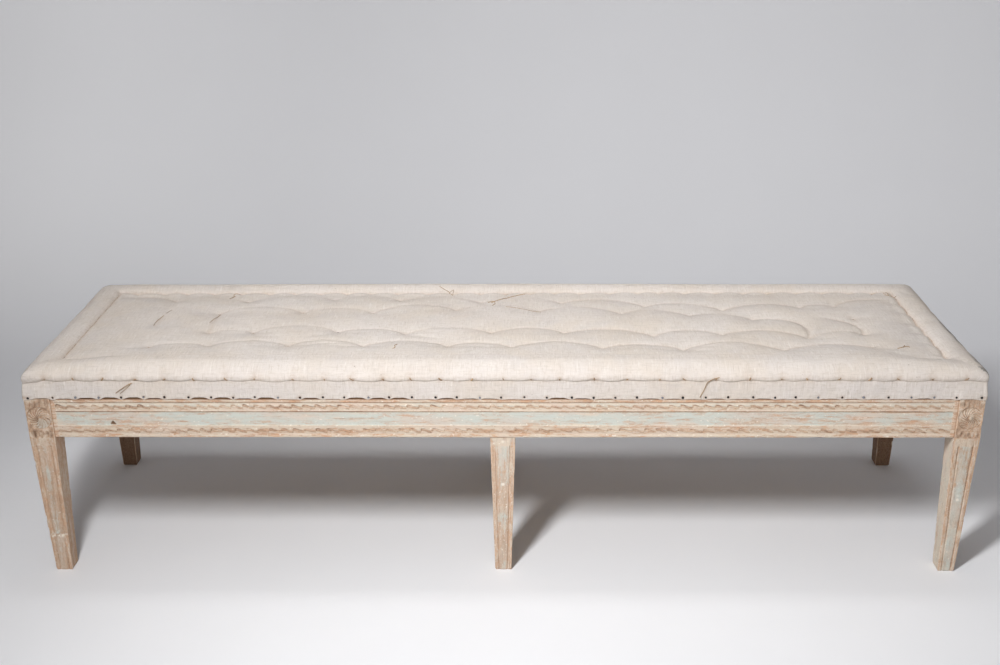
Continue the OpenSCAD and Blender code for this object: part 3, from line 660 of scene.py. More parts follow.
def rail_face(x, z, span, seed, look):
    """Depth behind the face, wear, tone and darkening, grime and painted shade together, of a rail's moulded
    face.
    """
    inside = 1 - smooth(span / 2 - 0.0088, span / 2 - 0.0074, np.abs(x))
    rough = fbm(plane(x, z), (0.09, 0.012, 1), seed + 5)
    spots = fbm(plane(x, z), (0.028, 0.0060, 1), seed + 7)
    depth = 0.00018 * rough
    wear = 0.40 + 0.25 * rough
    tone = np.full_like(x, 0.25)
    dirt_and_shade = np.full_like(x, 0.05) + 0.05 * spots
    r = (ASTRAGAL_W ** 2 + ASTRAGAL_H ** 2) / (2 * ASTRAGAL_H)
    for k, centre in enumerate((UPPER_BAND, LOWER_BAND)):
        v = z - centre
        channel = step_in(v, BAND_H / 2) * inside
        rise = np.clip(np.sqrt(np.clip(r * r - v * v, 0, None)) - (r - ASTRAGAL_H), 0, None)
        rise = rise * (np.abs(v) < ASTRAGAL_W)
        quirk = 0.0005 + (0.0013, 0.0005)[k] * smooth(-0.001, 0.001, (v, -v)[k])
        fade = 0.66 + 0.34 * smooth(-0.35, 0.25, line_noise(x, 0.16, seed + 30 + k))
        cut, dark, above = twist(x, v - (0.0006, 0.0015)[k], seed + 10 * k, fade)
        depth = depth + channel * (quirk * (1 - rise / ASTRAGAL_H) + cut)
        upper_half = smooth(-0.0016, 0.0016, above)
        here = (0.24, 0.34)[k] - (0.02, -0.04)[k] * upper_half
        wear = lay(wear, channel, here + 0.25 * rough + 0.22 * spots)
        tone = lay(tone, channel, 0.20 + (0.30, 0.06)[k] * upper_half)
        # Dark lines along the upper band's top edge and under each leaf's ledge: painted shade with some
        # grime
        lines = (0.50, 0.0)[k] * bell(v - BAND_H / 2 + 0.0004, 0.0010)
        below = (0.30 + 0.3 * spots) * bell(above + 0.0025, 0.0022) * (1 - upper_half)
        dark = dark * (1.0, 0.85)[k] * fade
        dirt_and_shade = np.maximum(dirt_and_shade, inside * np.maximum(dark, lines * (0.75 + 0.4 * spots)))
        dirt_and_shade = dirt_and_shade + channel * (below + 0.08)
    middle = (FIELD_LOW + FIELD_HIGH) / 2
    field = step_in(z - middle, (FIELD_HIGH - FIELD_LOW) / 2) * inside
    depth = depth + 0.0014 * field
    streaks = fbm(plane(x, z), (0.10, 0.0050, 1), seed + 6)
    worn = 0.16 + 0.18 * streaks + 0.20 * spots + look["field"] * smooth(-0.1, 0.9, np.abs(x + 0.1)) * 0.40
    worn = worn + 0.16 * bell(z - FIELD_LOW - 0.004, 0.005)
    worn = worn + 0.20 * smooth(-0.35, 0.6, line_noise(x, 0.15, seed + 8)) * smooth(-0.2, 0.5, streaks)
    worn = worn + look["middle"] * bell(x, 0.035)
    wear = lay(wear, field, worn)
    tone = lay(tone, field, 0.84 - 0.34 * smooth(0.0, 0.7, rough) - 0.40 * spots)
    # Painted shade, with some grime, darkens the corner above the field, and the edge below it is rubbed pale
    corner_line = bell(z - FIELD_HIGH - 0.0002, 0.0011) * inside
    dirt_and_shade = np.maximum(dirt_and_shade, corner_line * (0.66 + 0.5 * spots + 0.4 * streaks))
    top_fillet = smooth(RAIL_H - 0.0165, RAIL_H - 0.0150, z)
    wear = lay(wear, top_fillet, 0.60 + 0.25 * rough)
    tone = tone * (1 - 0.8 * top_fillet)
    lip = 1 - smooth(0.0055, 0.0080, z)
    wear = lay(wear, lip, 0.42 + 0.3 * rough + 0.2 * spots)
    tone = lay(tone, lip, 0.1)
    # Painted shade with grime on the wood under the edge of the linen, and dark joints with painted shade in
    # the corners beside the blocks
    dirt_and_shade = np.maximum(dirt_and_shade, smooth(HEM_Z - LEG_H - 0.0004, HEM_Z - LEG_H + 0.0014, z) * 1.5)
    dirt_and_shade = np.maximum(dirt_and_shade, 0.50 * smooth(span / 2 - 0.0035, span / 2, np.abs(x)))
    wear = wear + 0.25 * smooth(span / 2 - 0.010, span / 2 - 0.007, np.abs(x))
    for cx, cz, size in look["chips"]:
        from_chip = np.maximum(np.abs(x - cx) / size * 1.2 + (z - cz) / size * 0.9, (cz - z) / size * 1.6)
        chip = 1 - smooth(0.55, 1.0, from_chip)
        depth = depth + 0.0022 * chip
        dirt_and_shade = np.maximum(dirt_and_shade, 1.8 * chip)
    return depth, wear, tone, dirt_and_shade


def rail_piece(side, node, seed, look):
    """A whole rail: its moulded and carved face is fine, and the rest of its section is planed wood."""
    h, t, span = RAIL_H, RAIL_T, side.span
    front = np.concatenate([
        [h - 0.0012, h - 0.0034, h - 0.0068, h - 0.0102, h - 0.0136, h - 0.0152],
        np.arange(h - 0.0160, h - 0.0332, -0.0009),
        [0.0588, 0.0577, 0.0570, 0.0562], np.arange(0.0540, 0.0288, -0.0024),
        [0.0278, 0.0270, 0.0262, 0.0252],
        np.arange(0.0243, 0.0066, -0.0009), [0.0058, 0.0042, 0.0026, 0.0015]])
    # From the top of the face down it, then under, up the back and over the top
    section = [(0.0, z) for z in front]
    section += [(0.0005, 0.0004), (0.0018, 0.0)] + [(y, 0.0) for y in np.linspace(0.007, t - 0.006, 3)]
    section += [(t - 0.0012, 0.0), (t, 0.0012)] + [(t, z) for z in np.linspace(0.02, h - 0.02, 4)]
    section += [(t, h - 0.0012), (t - 0.0012, h)]
    section += [(y, h) for y in np.linspace(t - 0.006, 0.006, 3)] + [(0.0015, h), (0.0004, h - 0.0003)]
    section = np.array(section)
    half = span / 2 - 0.0001
    x = np.linspace(-half + 0.0025, half - 0.0025, int(span / 0.0018))
    x = np.concatenate([[-half, -half + 0.0008], x, [half - 0.0008, half]])
    px, index = np.meshgrid(x, np.arange(len(section)), indexing="ij")
    y, z = section[index, 0], section[index, 1]
    behind = index >= len(front)
    depth, wear, tone, dirt_and_shade = rail_face(px, z, span, seed, look)
    y = y + np.where(behind, 0, depth)
    # The lower edge is worn in slow waves and small dents
    low = bell(z, 0.004) * (y < 0.008)
    dents = smooth(0.45, 0.8, line_noise(px, 0.012, seed + 21))
    wave = 0.0003 * line_noise(px, 0.035, seed + 20) + 0.0006 * dents
    z = z + low * np.clip(wave + 0.0002, 0, None)
    planed = fbm(np.stack([px, y, z], -1), (0.12, 0.02, 0.02), seed + 23)
    wear = np.where(behind, 0.95 + 0.1 * planed, wear)
    dirt_and_shade = np.where(behind, 0.22 + 0.25 * planed, dirt_and_shade)
    wear = np.where(behind & (z < 0.001), 0.6, wear)
    points = turned(np.stack([px, y, z + LEG_H], -1), side.turn, side.reach - RAIL_SET)
    name = side.name + "_rail_carved"
    looks = {"wear": wear, "tone": tone, "dirt_and_shade": dirt_and_shade, "grain": np.stack([px, y, z], -1) + seed * 0.37}
    new_object(name, points, ring_faces(*px.shape), WORN_PAINT, node, looks, 50)


def add_rails():
    """The four rails. The front one is worn more, most in the middle, and has a chip low in its field."""
    quiet = {"field": 0.25, "middle": 0.0, "chips": []}
    front = {"field": 0.42, "middle": 0.30, "chips": [(-0.779, 0.0323, 0.0050)]}
    rail_piece(SIDES["front"], "front_rail", 11, front)
    rail_piece(SIDES["rear"], "rear_rail", 47, quiet)
    rail_piece(SIDES["left"], "left_end_rail", 71, quiet)
    rail_piece(SIDES["right"], "right_end_rail", 93, quiet)


# Legs

GROOVE_TOP = LEG_H - 0.016
GROOVE_LOW_X, GROOVE_HIGH_X = 0.0090, 0.0145    # a groove's distance from the middle at the foot and top
ROSETTE_UP = 0.044                              # the rosette's middle above the block's lower edge


def leg_levels(corner):
    """Heights of a leg's rings, close together where the block is carved."""
    low = np.concatenate([[0.0, 0.0008, 0.0020], np.arange(0.004, LEG_H - 0.020, 0.0024)])
    stop = np.arange(LEG_H - 0.020, LEG_H - 0.0005, 0.0011)
    if not corner:
        return np.concatenate([low, stop, [LEG_H - 0.0004]])
    block = np.concatenate([
        np.arange(LEG_H, LEG_H + 0.018, 0.0006), np.arange(LEG_H + 0.018, LEG_H + 0.070, 0.0011),
        np.arange(LEG_H + 0.0716, TOP_Z - 0.003, 0.0026), [TOP_Z - 0.0012, TOP_Z - 0.0003, TOP_Z]])
    levels = np.concatenate([low, stop, block])
    return levels[np.concatenate([[True], np.diff(levels) > 1e-5])]


def face_knots(carved):
    """Places across a face from -1 to 1, close together at the grooves and the rosette's rim."""
    if carved:
        half = np.concatenate([np.linspace(0, 0.42, 9)[1:], np.linspace(0.44, 0.66, 13),
                               np.linspace(0.70, 0.97, 7), [1.0]])
    else:
        half = np.linspace(0, 1, 9)[1:]
    return np.concatenate([-half[::-1], [0], half])


def leg_face(x, z, corner, seed, look):
    """Depth, wear, tone and darkening, grime and painted shade together, of a leg's grooved outer face, and
    of the block above it.
    """
    grain = fbm(plane(z, x), (0.055, 0.0036, 1), seed + 3)
    patch = fbm(plane(z, x), (0.022, 0.010, 1), seed + 4)
    broad = fbm(plane(z, x), (0.060, 0.030, 1), seed + 6)
    shaft = 1 - smooth(LEG_H - 0.001, LEG_H + 0.001, z)
    share = np.clip(z / GROOVE_TOP, 0, 1)
    groove_x = GROOVE_LOW_X + (GROOVE_HIGH_X - GROOVE_LOW_X) * share
    from_groove = np.abs(np.abs(x) - groove_x)
    end = 1 - smooth(GROOVE_TOP - 0.004, GROOVE_TOP + 0.0005, z)
    vee = np.clip(1 - from_groove / 0.0022, 0, 1) * end
    depth = 0.0019 * smooth(0, 1, vee) + 0.00020 * grain
    soft = 0.0034 * (1 + 0.8 * patch)
    panel = (1 - smooth(-soft, soft, np.abs(x) - groove_x)) * end
    strip = smooth(-soft, soft, np.abs(x) - groove_x) * end
    near_top = smooth(GROOVE_TOP - 0.004, GROOVE_TOP + 0.004, z) * shaft
    mixed = 0.42 * patch + 0.30 * grain + 0.30 * broad
    centre = look["narrow"] * smooth(0.1, 0.9, np.abs(x) / groove_x)
    wear = panel * (look["panel"] + centre + mixed) + strip * (look["strip"] + mixed)
    wear = wear + near_top * (look["strip"] * 0.7 + 0.40 * patch)
    tone = panel * 0.75 + strip * 0.30 + near_top * 0.5 + 0.4 * patch
    # Grime and painted shade darken the grooves
    faded = 0.55 + 0.45 * line_noise(z, 0.06, seed + 8)
    dirt_and_shade = look["lines"] * smooth(0.20, 1.0, vee) * faded * (0.8 + 0.6 * patch)
    dirt_and_shade = dirt_and_shade + 0.16 * smooth(0.0, 0.6, grain) + look["grime"] * (1 + 0.8 * broad)
    for low, high, amount in look["bare"]:
        here = smooth(low - 0.010, low + 0.004, z) * (1 - smooth(high - 0.006, high + 0.010, z))
        wear = wear + amount * here * panel
    for at, amount in look["scars"]:
        line = z - at - 0.10 * x - 0.0018 * line_noise(x, 0.006, seed + 9)
        scar = bell(line, 0.0011)
        broken = amount * (0.6 + 0.6 * line_noise(x, 0.005, seed + 10))
        splash = bell(z - at + 0.001, 0.0075)
        splash = splash * smooth(0.05, 0.45, noise(plane(x, z), 0.0042, seed))
        dirt_and_shade = dirt_and_shade * (1 - splash * amount) - 0.62 * splash * amount
        depth = depth + 0.0012 * scar * broken
        wear = wear + (0.3 * scar - 0.60 * bell(line - 0.0025, 0.0016)) * broken
        dirt_and_shade = dirt_and_shade + 0.40 * scar * np.clip(broken, 0, 1)
    for at, amount in look["chips"]:
        chip = np.exp(-(((z - at) / 0.0042) ** 2 + (x / 0.0045) ** 2) ** 2)
        depth = depth + 0.0005 * chip
        dirt_and_shade = dirt_and_shade * (1 - chip) - 0.65 * chip * amount
    if corner:
        block = 1 - shaft
        up = z - LEG_H
        mottle = fbm(plane(x, z), (0.011, 0.011, 1), seed + 15)
        speckle = fbm(plane(x, z), (0.006, 0.009, 1), seed + 16)
        r = np.hypot(x, up - ROSETTE_UP)
        sunk = 1 - smooth(0.0237, 0.0247, r)
        depth = depth + block * sunk * 0.0019
        wear = wear * shaft + block * (0.62 + 0.9 * mottle + 0.5 * speckle)
        tone = tone * shaft + block * (0.42 + 0.9 * mottle)
        ring = 0.10 * bell(r - 0.0242, 0.0009)
        dirt_and_shade = dirt_and_shade * shaft + block * (ring + look["block"] + 0.30 * mottle - 0.45 * speckle)
        for line in (0.002, 0.015):
            cut = np.clip(1 - np.abs(up - line) / 0.0012, 0, 1)
            depth = depth + block * 0.0008 * cut
            dirt_and_shade = dirt_and_shade + block * 0.16 * cut
        # Short upright cuts in the collar below the rosette and under the linen
        for low, high, pitch in ((0.0035, 0.0135, 0.0086), (0.0690, 0.0800, 0.0098)):
            row = step_in(up - (low + high) / 2, (high - low) / 2, 0.0016)
            t = x / pitch + 0.5 + 0.1 * line_noise(x, 0.012, seed + 12)
            t = np.abs(t - np.round(t)) * pitch
            notch = bell(t, 0.0015) * row * (np.abs(x) < 0.021)
            depth = depth + block * 0.0008 * notch
            dirt_and_shade = dirt_and_shade + block * 0.22 * notch
            wear = wear + block * (0.20 * notch - 0.30 * (1 - notch) * row)
    return depth, wear, tone, dirt_and_shade


def leg_side(k, z, h, radius, carved, corner, seed, look):
    """Columns of points of one face and the worn edge after it, with their wear, tone and darkening, which is
    grime and painted shade. The faces are numbered from the front, counter-clockwise seen from above."""
    r0, r1 = radius[k], radius[(k + 1) % 4]
    c, s = math.cos(k * math.pi / 2), math.sin(k * math.pi / 2)
    # The foot is a little rounded all round
    inward = 1 - 0.0016 * (1 - np.clip(z / 0.004, 0, 1)) ** 2 / h

    def column(x, y, *looks):
        x, y = x * inward, y * inward
        return np.array(np.broadcast_arrays(c * x - s * y, s * x + c * y, z, *looks))

    columns = []
    for place in face_knots(carved):
        low, high = -h + r0, h - r1
        x = low + (high - low) * (place + 1) / 2
        if carved:
            depth, wear, tone, dirt_and_shade = leg_face(x, z, corner, seed + 5 * k, look)
        else:
            # Plain inner faces, darkened by soil and painted shade
            rough = fbm(plane(z, x), (0.07, 0.009, 1), seed + 31 + k)
            block = smooth(LEG_H - 0.002, LEG_H + 0.002, z)
            depth, wear, tone = 0.0002 * rough, look["inner"] + 0.45 * rough + 0.5 * block, 0.45
            dirt_and_shade = look["soil_and_shade"] + 0.2 * block + 0.1 * rough
        chipped = line_noise(z, 0.012, seed + 60 + (k if place < 0 else (k + 1) % 4))
        wear = wear + smooth(0.86, 1.0, abs(place)) * (0.30 + 0.25 * chipped)
        columns.append(column(x, -h + depth, wear, tone, dirt_and_shade))
    wear = 0.66 + 0.25 * line_noise(z, 0.01, seed + 70 + k)
    for a in (0.25 * math.pi / 2, 0.5 * math.pi / 2, 0.75 * math.pi / 2):
        columns.append(column(h - r1 + r1 * math.sin(a), -h + r1 - r1 * math.cos(a), wear, 0.4, 0.05))
    return columns


def leg_piece(where, centre, outer, corner, seed, look, post_side=None):
    """A leg: a tapered shaft, and above it the block of a corner or the post behind a rail."""
    z = leg_levels(corner)
    h = np.where(z < LEG_H, FOOT_W / 2 + (LEG_W - FOOT_W) / 2 * z / LEG_H, LEG_W / 2)
    radius = []
    for k in range(4):
        worn = 0.0012 + 0.0008 * line_noise(z, 0.05, seed + 40 + k)
        worn = worn + 0.0030 * smooth(0.50, 0.95, line_noise(z, 0.016, seed + 50 + k))
        radius.append(np.clip(worn, 0.0007, 0.0048))
    body = []
    for k in range(4):
        body += leg_side(k, z, h, radius, k in outer, corner, seed, look)
    body = np.stack(body, -1)
    if post_side is not None:
        rings = []
        for level in (LEG_H, LEG_H + 0.03, LEG_H + 0.06, TOP_Z - 0.001):
            ring = body[:, -1:].copy()
            back = (ring[1] * post_side + LEG_W / 2) * (LEG_W - RAIL_T - 0.0002) / LEG_W
            ring[1] = post_side * (0.0006 + back)
            ring[2:] = np.reshape((level, 0.95, 0.2, 0.3), (4, 1, 1))
            rings.append(ring)
        body = np.concatenate([body] + rings, 1)
    x, y, z, wear, tone, dirt_and_shade = body
    # Short, mottled streaks on the carved block, longer ones down the leg
    streak_z = np.where(z < LEG_H, 1.5 * z, 1.5 * LEG_H + 7 * (z - LEG_H))
    looks = {"wear": wear, "tone": tone, "dirt_and_shade": dirt_and_shade, "grain": np.stack([streak_z, x, y], -1) + seed * 0.61}
    points = np.stack([x + centre[0], y + centre[1], z], -1)
    new_object("leg_" + where + "_worn", points, ring_faces(*z.shape), WORN_PAINT,
               "leg_" + where, looks, 55)


def rosette_piece(name, centre, turn, seed, worn_low):
    """A pinwheel of sixteen gouged flutes in a block's sunk round."""
    petals, outer = 16, 0.0240
    count = petals * 14
    r = np.concatenate([[0.0006], np.linspace(0.0018, 0.0218, 24), [0.0224, 0.0229, 0.0234, outer]])
    a = np.arange(count) * 2 * math.pi / count
    rr, aa = np.meshgrid(r, a, indexing="ij")
    drift = noise(np.stack([np.cos(aa), np.sin(aa), rr * 30], -1), 0.8, seed)
    swirl = aa + 1.05 * (rr / outer) ** 0.9 + 0.10 * drift
    f = swirl * petals / (2 * math.pi)
    f = f - np.floor(f)
    flute = np.sin(math.pi * f) ** 0.8
    start = smooth(0.0016, 0.0060, rr)
    stop = 1 - smooth(0.0214, 0.0233, rr + 0.0008 * (1 - flute))
    ground = -0.0004 - 0.0011 * (rr / outer) ** 1.6
    place = np.stack([rr * np.cos(aa), rr * np.sin(aa), rr * 0], -1)
    force = 1 - worn_low * smooth(0.1, 0.9, -np.sin(aa - 0.5) + 0.5 * noise(place, 0.012, seed + 2))
    relief = ground + 0.0004 - 0.0020 * flute * start * stop * force
    relief = np.where(rr > 0.0232, -0.0019, relief)
    x, up = rr * np.cos(aa), rr * np.sin(aa)
    points = np.stack([x, -relief, up], -1)
    back = points[-1].copy()
    back[:, 1] = 0.0024
    points = np.concatenate([points.reshape(-1, 3), back, [[0, -relief[0, 0] - 0.0002, 0]]])
    faces = grid_faces(len(r) + 1, count, close_columns=True, flip=True).tolist()
    faces += [[len(points) - 1, k, (k + 1) % count] for k in range(count)]
    faces.append([len(r) * count + k for k in range(count)][::-1])
    patch = fbm(place, 0.010, seed + 4)
    wear = 0.50 + 0.6 * patch - 0.55 * (1 - force)
    tone = 0.40 - 0.3 * (1 - flute) + 0.4 * patch + 0.6 * (1 - force)
    # Painted shade down one side of each flute, and painted highlight on the ridges, which are kept paler
    shadow = smooth(0.30, 0.75, f) * flute * start * stop
    dirt_and_shade = (1.05 * shadow + 0.15 * smooth(0.0, 0.5, patch)) * force + 0.20 + 0.20 * patch
    lit_ridge = bell(np.minimum(f, 1 - f), 0.15) * start * stop * force
    wear = wear * (1 - 0.8 * lit_ridge)
    tone = tone * (1 - lit_ridge)
    dirt_and_shade = dirt_and_shade * (1 - 0.7 * lit_ridge)
    looks = {"grain": np.concatenate([plane(up, x).reshape(-1, 3), np.zeros((count + 1, 3))]) + seed * 0.43}
    for key, values, hidden in (("wear", wear, 0.5), ("tone", tone, 0.5), ("dirt_and_shade", dirt_and_shade, 0.2)):
        looks[key] = np.concatenate([values.ravel(), np.full(count + 1, hidden)])
    new_object(name, turned(points, turn) + centre, faces, WORN_PAINT, None, looks, 60)


def add_legs():
    """The six legs and the rosettes in the blocks of the corner ones."""
    # The soil value darkens the plain inner faces with soil and painted shade, most on the rear legs in the
    # seat's shadow
    plain = {"panel": 0.20, "strip": 0.52, "inner": 0.40, "grime": 0.10, "soil_and_shade": 0.08, "block": 0.24,
             "lines": 0.42, "narrow": 0.26, "bare": [], "scars": [], "chips": []}
    looks = {
        "front_left": dict(plain, panel=0.40, strip=0.74, inner=0.55, grime=0.22, soil_and_shade=0.28, block=0.34,
                           lines=0.16, narrow=0.62, bare=[(0.0, 0.082, 0.40), (0.245, 0.30, 0.30)],
                           scars=[(0.087, 1.0), (0.070, 0.5)]),
        "front_right": dict(plain, panel=0.20, strip=0.54, inner=0.26, soil_and_shade=0.06, grime=0.20,
                            chips=[(0.172, 0.8), (0.181, 0.5)]),
        "rear_left": dict(plain, panel=0.4, inner=0.9, soil_and_shade=0.80),
        "rear_right": dict(plain, panel=0.3, inner=0.9, soil_and_shade=0.75),
    }
    seed = 200
    for row, sy in (("front", -1), ("rear", 1)):
        for side, sx in (("left", -1), ("right", 1)):
            where = row + "_" + side
            outer = (0 if sy < 0 else 2, 3 if sx < 0 else 1)
            centre = (sx * LEG_X, sy * LEG_Y)
            leg_piece(where, centre, outer, True, seed, looks[where])
            for k in outer:
                turn = k * math.pi / 2
                out = Vector((math.sin(turn), -math.cos(turn)))
                at = (centre[0] + out.x * LEG_W / 2, centre[1] + out.y * LEG_W / 2, LEG_H + ROSETTE_UP)
                low = 0.85 if where == "front_left" else 0.15
                rosette_piece("rosette_%s_%d" % (where, k), at, turn, seed + 3 * k, low)
            seed += 100
    middle = dict(plain, panel=0.30, strip=0.62, grime=0.04, lines=0.36,
                  bare=[(0.0, 0.055, 0.25), (0.060, 0.110, 0.30), (0.140, 0.200, 0.40)],
                  chips=[(0.206, 1.0), (0.304, 0.6)])
    leg_piece("front_middle", (0, -MID_Y), (0,), False, 620, middle, 1)
    leg_piece("rear_middle", (0, MID_Y), (2,), False, 720, dict(middle, inner=0.9, soil_and_shade=0.8), -1)


# Linen seat

SEAM_X = OUT_X - ROLL_W
SEAM_Y = OUT_Y - ROLL_W
CORNER_R = 0.017
STITCH = 0.0600       # pitch of the stitches in the two seams of the edge roll
MOST_PUSH = 0.0050    # the farthest that the simulation may move the cloth
INNER_SEAMS = (308, 306, 310, 304)    # seeds of the inner seams' stitches, in the order of SIDES


def tuft_row(first, steps, ys):
    """Places of a row of tufts, listed as the first place, each step along the row and each distance
    from the seat's middle, in millimetres."""
    return np.stack([np.cumsum([first, *steps]), ys], 1) * MM


# The rows from the rear to the front
TUFTS = [
    tuft_row(-742, (163, 196, 148, 183, 181, 185, 170, 173, 79),
             (140, 138, 145, 145, 134, 130, 109, 82, 101, 111)),
    tuft_row(-628, (186, 155, 182, 184, 177, 149, 133, 219), (60, 63, 60, 84, 72, 57, 42, 22, 25)),
    tuft_row(-622, (94, 178, 144, 181, 153, 187, 142, 178, 122),
             (-60, -60, -56, -65, -61, -59, -73, -70, -84, -62)),
    tuft_row(-726, (119, 165, 155, 174, 130, 188, 161, 203, 185),
             (-144, -136, -132, -137, -132, -142, -145, -153, -158, -138)),
]


def creases():
    """Folds from tuft to tuft: ends, sideways bow and depth at the middle."""
    found = []
    for number, row in enumerate(TUFTS):
        for k in range(len(row) - 1):
            vary = lattice(number + 3, k + 5, 1, 77)
            strong = 0.55 + 0.45 * float(smooth(-0.55, 0.45, row[k][0]))
            length = row[k + 1][0] - row[k][0]
            deep = 0.0032 * strong * (1 + 0.25 * lattice(number, k, 2, 78))
            if length > 0.2 and number == 1:
                continue
            found.append((row[k], row[k + 1], (0.125 + 0.03 * vary) * length, deep))
    rear, second, third = TUFTS[:3]
    # From the seams to the rear row, down the left end, and the two hooked folds at the right end
    found += [((-0.889, 0.150), rear[0], 0.026, 0.0040), (rear[-1], (0.889, 0.140), 0.022, 0.0036),
              (rear[0], (-0.741, 0.034), -0.002, 0.0014), ((-0.743, 0.040), (-0.747, -0.050), 0.003, 0.0034),
              (second[0], third[0], 0.002, 0.0036), (second[-2], third[-2], 0.055, 0.0050),
              ((0.684, 0.024), third[-1], 0.030, 0.0050), (second[-1], third[-1], 0.004, 0.0020)]
    return [(np.array(a), np.array(b), bow, deep) for a, b, bow, deep in found]


def tuft_dent(dx, dy, seed):
    """Depth of one tuft, with small rays, and how near each place is to it."""
    r = np.hypot(dx, dy)
    a = np.arctan2(dy, dx)
    rays = np.sin(7 * a + seed) * 0.5 + np.sin(11 * a + 2 * seed) * 0.35
    deep = 0.0054 * np.exp(-np.sqrt(r * r + 0.0016 ** 2) / 0.0150)
    return deep * (1 + 0.16 * rays * smooth(0.002, 0.014, r)), np.exp(-r / 0.006)


def fold_dent(dx, dy, a, b, bow, middle):
    """Depth of the fold from a to b at places given from a, and how near each is to it."""
    length = np.hypot(*(b - a))
    unit = (b - a) / length
    t = (dx * unit[0] + dy * unit[1]) / length
    tc = np.clip(t, 0, 1)
    wander = 0.0012 * line_noise(tc * length, 0.03, int(abs(a[0]) * 1000))
    s = dy * unit[0] - dx * unit[1] - bow * np.sin(math.pi * tc) ** 0.8 - wander
    beyond = np.abs(t - tc) * length
    reach = np.where(s > 0, 0.021, 0.0065)
    fall = np.exp(-(np.sqrt(s * s + beyond ** 2 + 0.0007 ** 2) - 0.0007) / reach)
    held = 0.0
    for end, near in ((a, 1 - tc), (b, tc)):
        tied = min(np.hypot(*(end - tuft)) for row in TUFTS for tuft in row) < 0.004
        held = held + (0.0032 if tied else -0.9 * middle) * np.clip(2 * near - 1, 0, 1) ** 3
    deep = (middle + held) * fall * (0.35 + 0.65 * (1 - smooth(0, 0.02, beyond)))
    line = np.exp(-np.sqrt(s * s + beyond ** 2) / 0.0040) * smooth(0.001, 0.005, middle + held)
    return np.clip(deep, 0, None), line * 0.8


def pillow(x, y):
    """Depth of the tufting below the full seat, and how near each place is to a tuft or fold."""
    total, mark = np.zeros_like(x), np.zeros_like(x)

    def press_in(middle, reach, start, dent, *values):
        near = (np.abs(x - middle[0]) < reach) & (np.abs(y - middle[1]) < reach)
        deep, line = dent(x[near] - start[0], y[near] - start[1], *values)
        total[near] += deep ** 2.5
        mark[near] = np.maximum(mark[near], line)

    for row in TUFTS:
        for tuft in row:
            seed = int(abs(tuft[0] * 1000)) + int(abs(tuft[1] * 1000))
            press_in(tuft, 0.13, tuft, tuft_dent, seed)
    for a, b, bow, middle in creases():
        press_in((a + b) / 2, np.hypot(*(b - a)) / 2 + 0.12, a, fold_dent, a, b, bow, middle)
    return total ** 0.4, mark


def stitch_wave(run, seed):
    """1 at a stitch and 0 between them, along a seam, with a hand's irregular pitch."""
    t = run / STITCH + 0.16 * line_noise(run, 0.13, seed) + 0.08 * line_noise(run, 0.05, seed + 1)
    t = np.abs(t - np.round(t)) * 2
    return 1 - np.sin(math.pi / 2 * t) ** 0.75, t


def top_height(x, y):
    """Height of the seat inside the roll's inner seams, and how near each place is to a fold."""
    to_x, to_y = SEAM_X - np.abs(x), SEAM_Y - np.abs(y)
    to_seam = np.minimum(to_x, to_y)
    run = np.where(to_x < to_y, y, x)
    # The number of the side whose seam is nearest
    side = np.where(to_x < to_y, np.where(x > 0, 1, 3), np.where(y > 0, 2, 0))
    pull, deep = np.zeros_like(x), np.ones_like(x)
    for number, (seed, force) in enumerate(zip(INNER_SEAMS, (0.05, 0.9, 1.0, 0.22))):
        here = side == number
        pull[here] = stitch_wave(run[here], seed)[0]
        deep[here] = force
    crown = 0.0035 * (1 - (x / SEAM_X) ** 4) * (1 - (y / SEAM_Y) ** 2)
    near = np.clip(to_seam, 0, 1)
    front = front_rise(x) * np.exp(-np.clip(SEAM_Y + y, 0, 1) / 0.08)
    full = SEAM_Z + 0.0042 + crown + 0.0022 * (1 - pull) * deep * bell(near - 0.012, 0.009)
    shallow = np.where(side == 0, 1 - 0.75 * front_rise(x), 1.0)
    full = full - (0.0034 * shallow + 0.0064 * pull * deep) * np.exp(-near / (0.0055 + 0.0070 * pull * deep))
    full = full + 0.0046 * front
    full = full + 0.0012 * fbm(plane(x, y), 0.16, 310)
    full = full + 0.0004 * fbm(plane(x, y), (0.045, 0.035, 1), 311)
    depth, mark = pillow(x, y)
    return full - depth * smooth(0.0, 0.03, to_seam), mark


def front_rise(x):
    """Along the front the cloth runs almost level over the seam; towards the corners the seam sinks in."""
    return smooth(0.0, 0.10, SEAM_X - np.abs(x))


def roll_section(count):
    """Offset from the inner seam, height and cloth run of points along the roll's section."""
    line = [(0.0, SEAM_Z - 0.0010), (0.0018, SEAM_Z + 0.0022), (0.0060, SEAM_Z + 0.0066),
            (0.0120, CREST_Z - 0.0010), (0.0200, CREST_Z), (0.0340, CREST_Z - 0.0008),
            (0.0480, CREST_Z - 0.0044), (0.0575, CREST_Z - 0.0100), (0.0628, SEAM_Z - 0.0050),
            (0.0643, SEAM_Z - 0.0090), (0.0637, LOW_SEAM_Z + 0.0058),
            (0.0628, LOW_SEAM_Z + 0.0026), (0.0614, LOW_SEAM_Z + 0.0008), (0.0588, LOW_SEAM_Z)]
    fine = spline(line, 400)
    run = run_along(fine)
    t = np.linspace(0, 1, count)
    t = t - 0.055 * np.sin(2 * math.pi * t)
    at = t * run[-1]
    return np.interp(at, run, fine[:, 0]), np.interp(at, run, fine[:, 1]), at


def cover_axis(half, step, rolls):
    """Knots along one axis: place inside the seams, roll index outside them, and which side."""
    inner = np.linspace(-half, half, int(round(2 * half / step)) // 2 * 2 + 1)
    k = np.arange(1, rolls)
    place = np.concatenate([np.full(rolls - 1, -half), inner, np.full(rolls - 1, half)])
    roll = np.concatenate([k[::-1], np.zeros(len(inner), int), k])
    side = np.where(place < 0, -1, 1)
    return place, roll, side


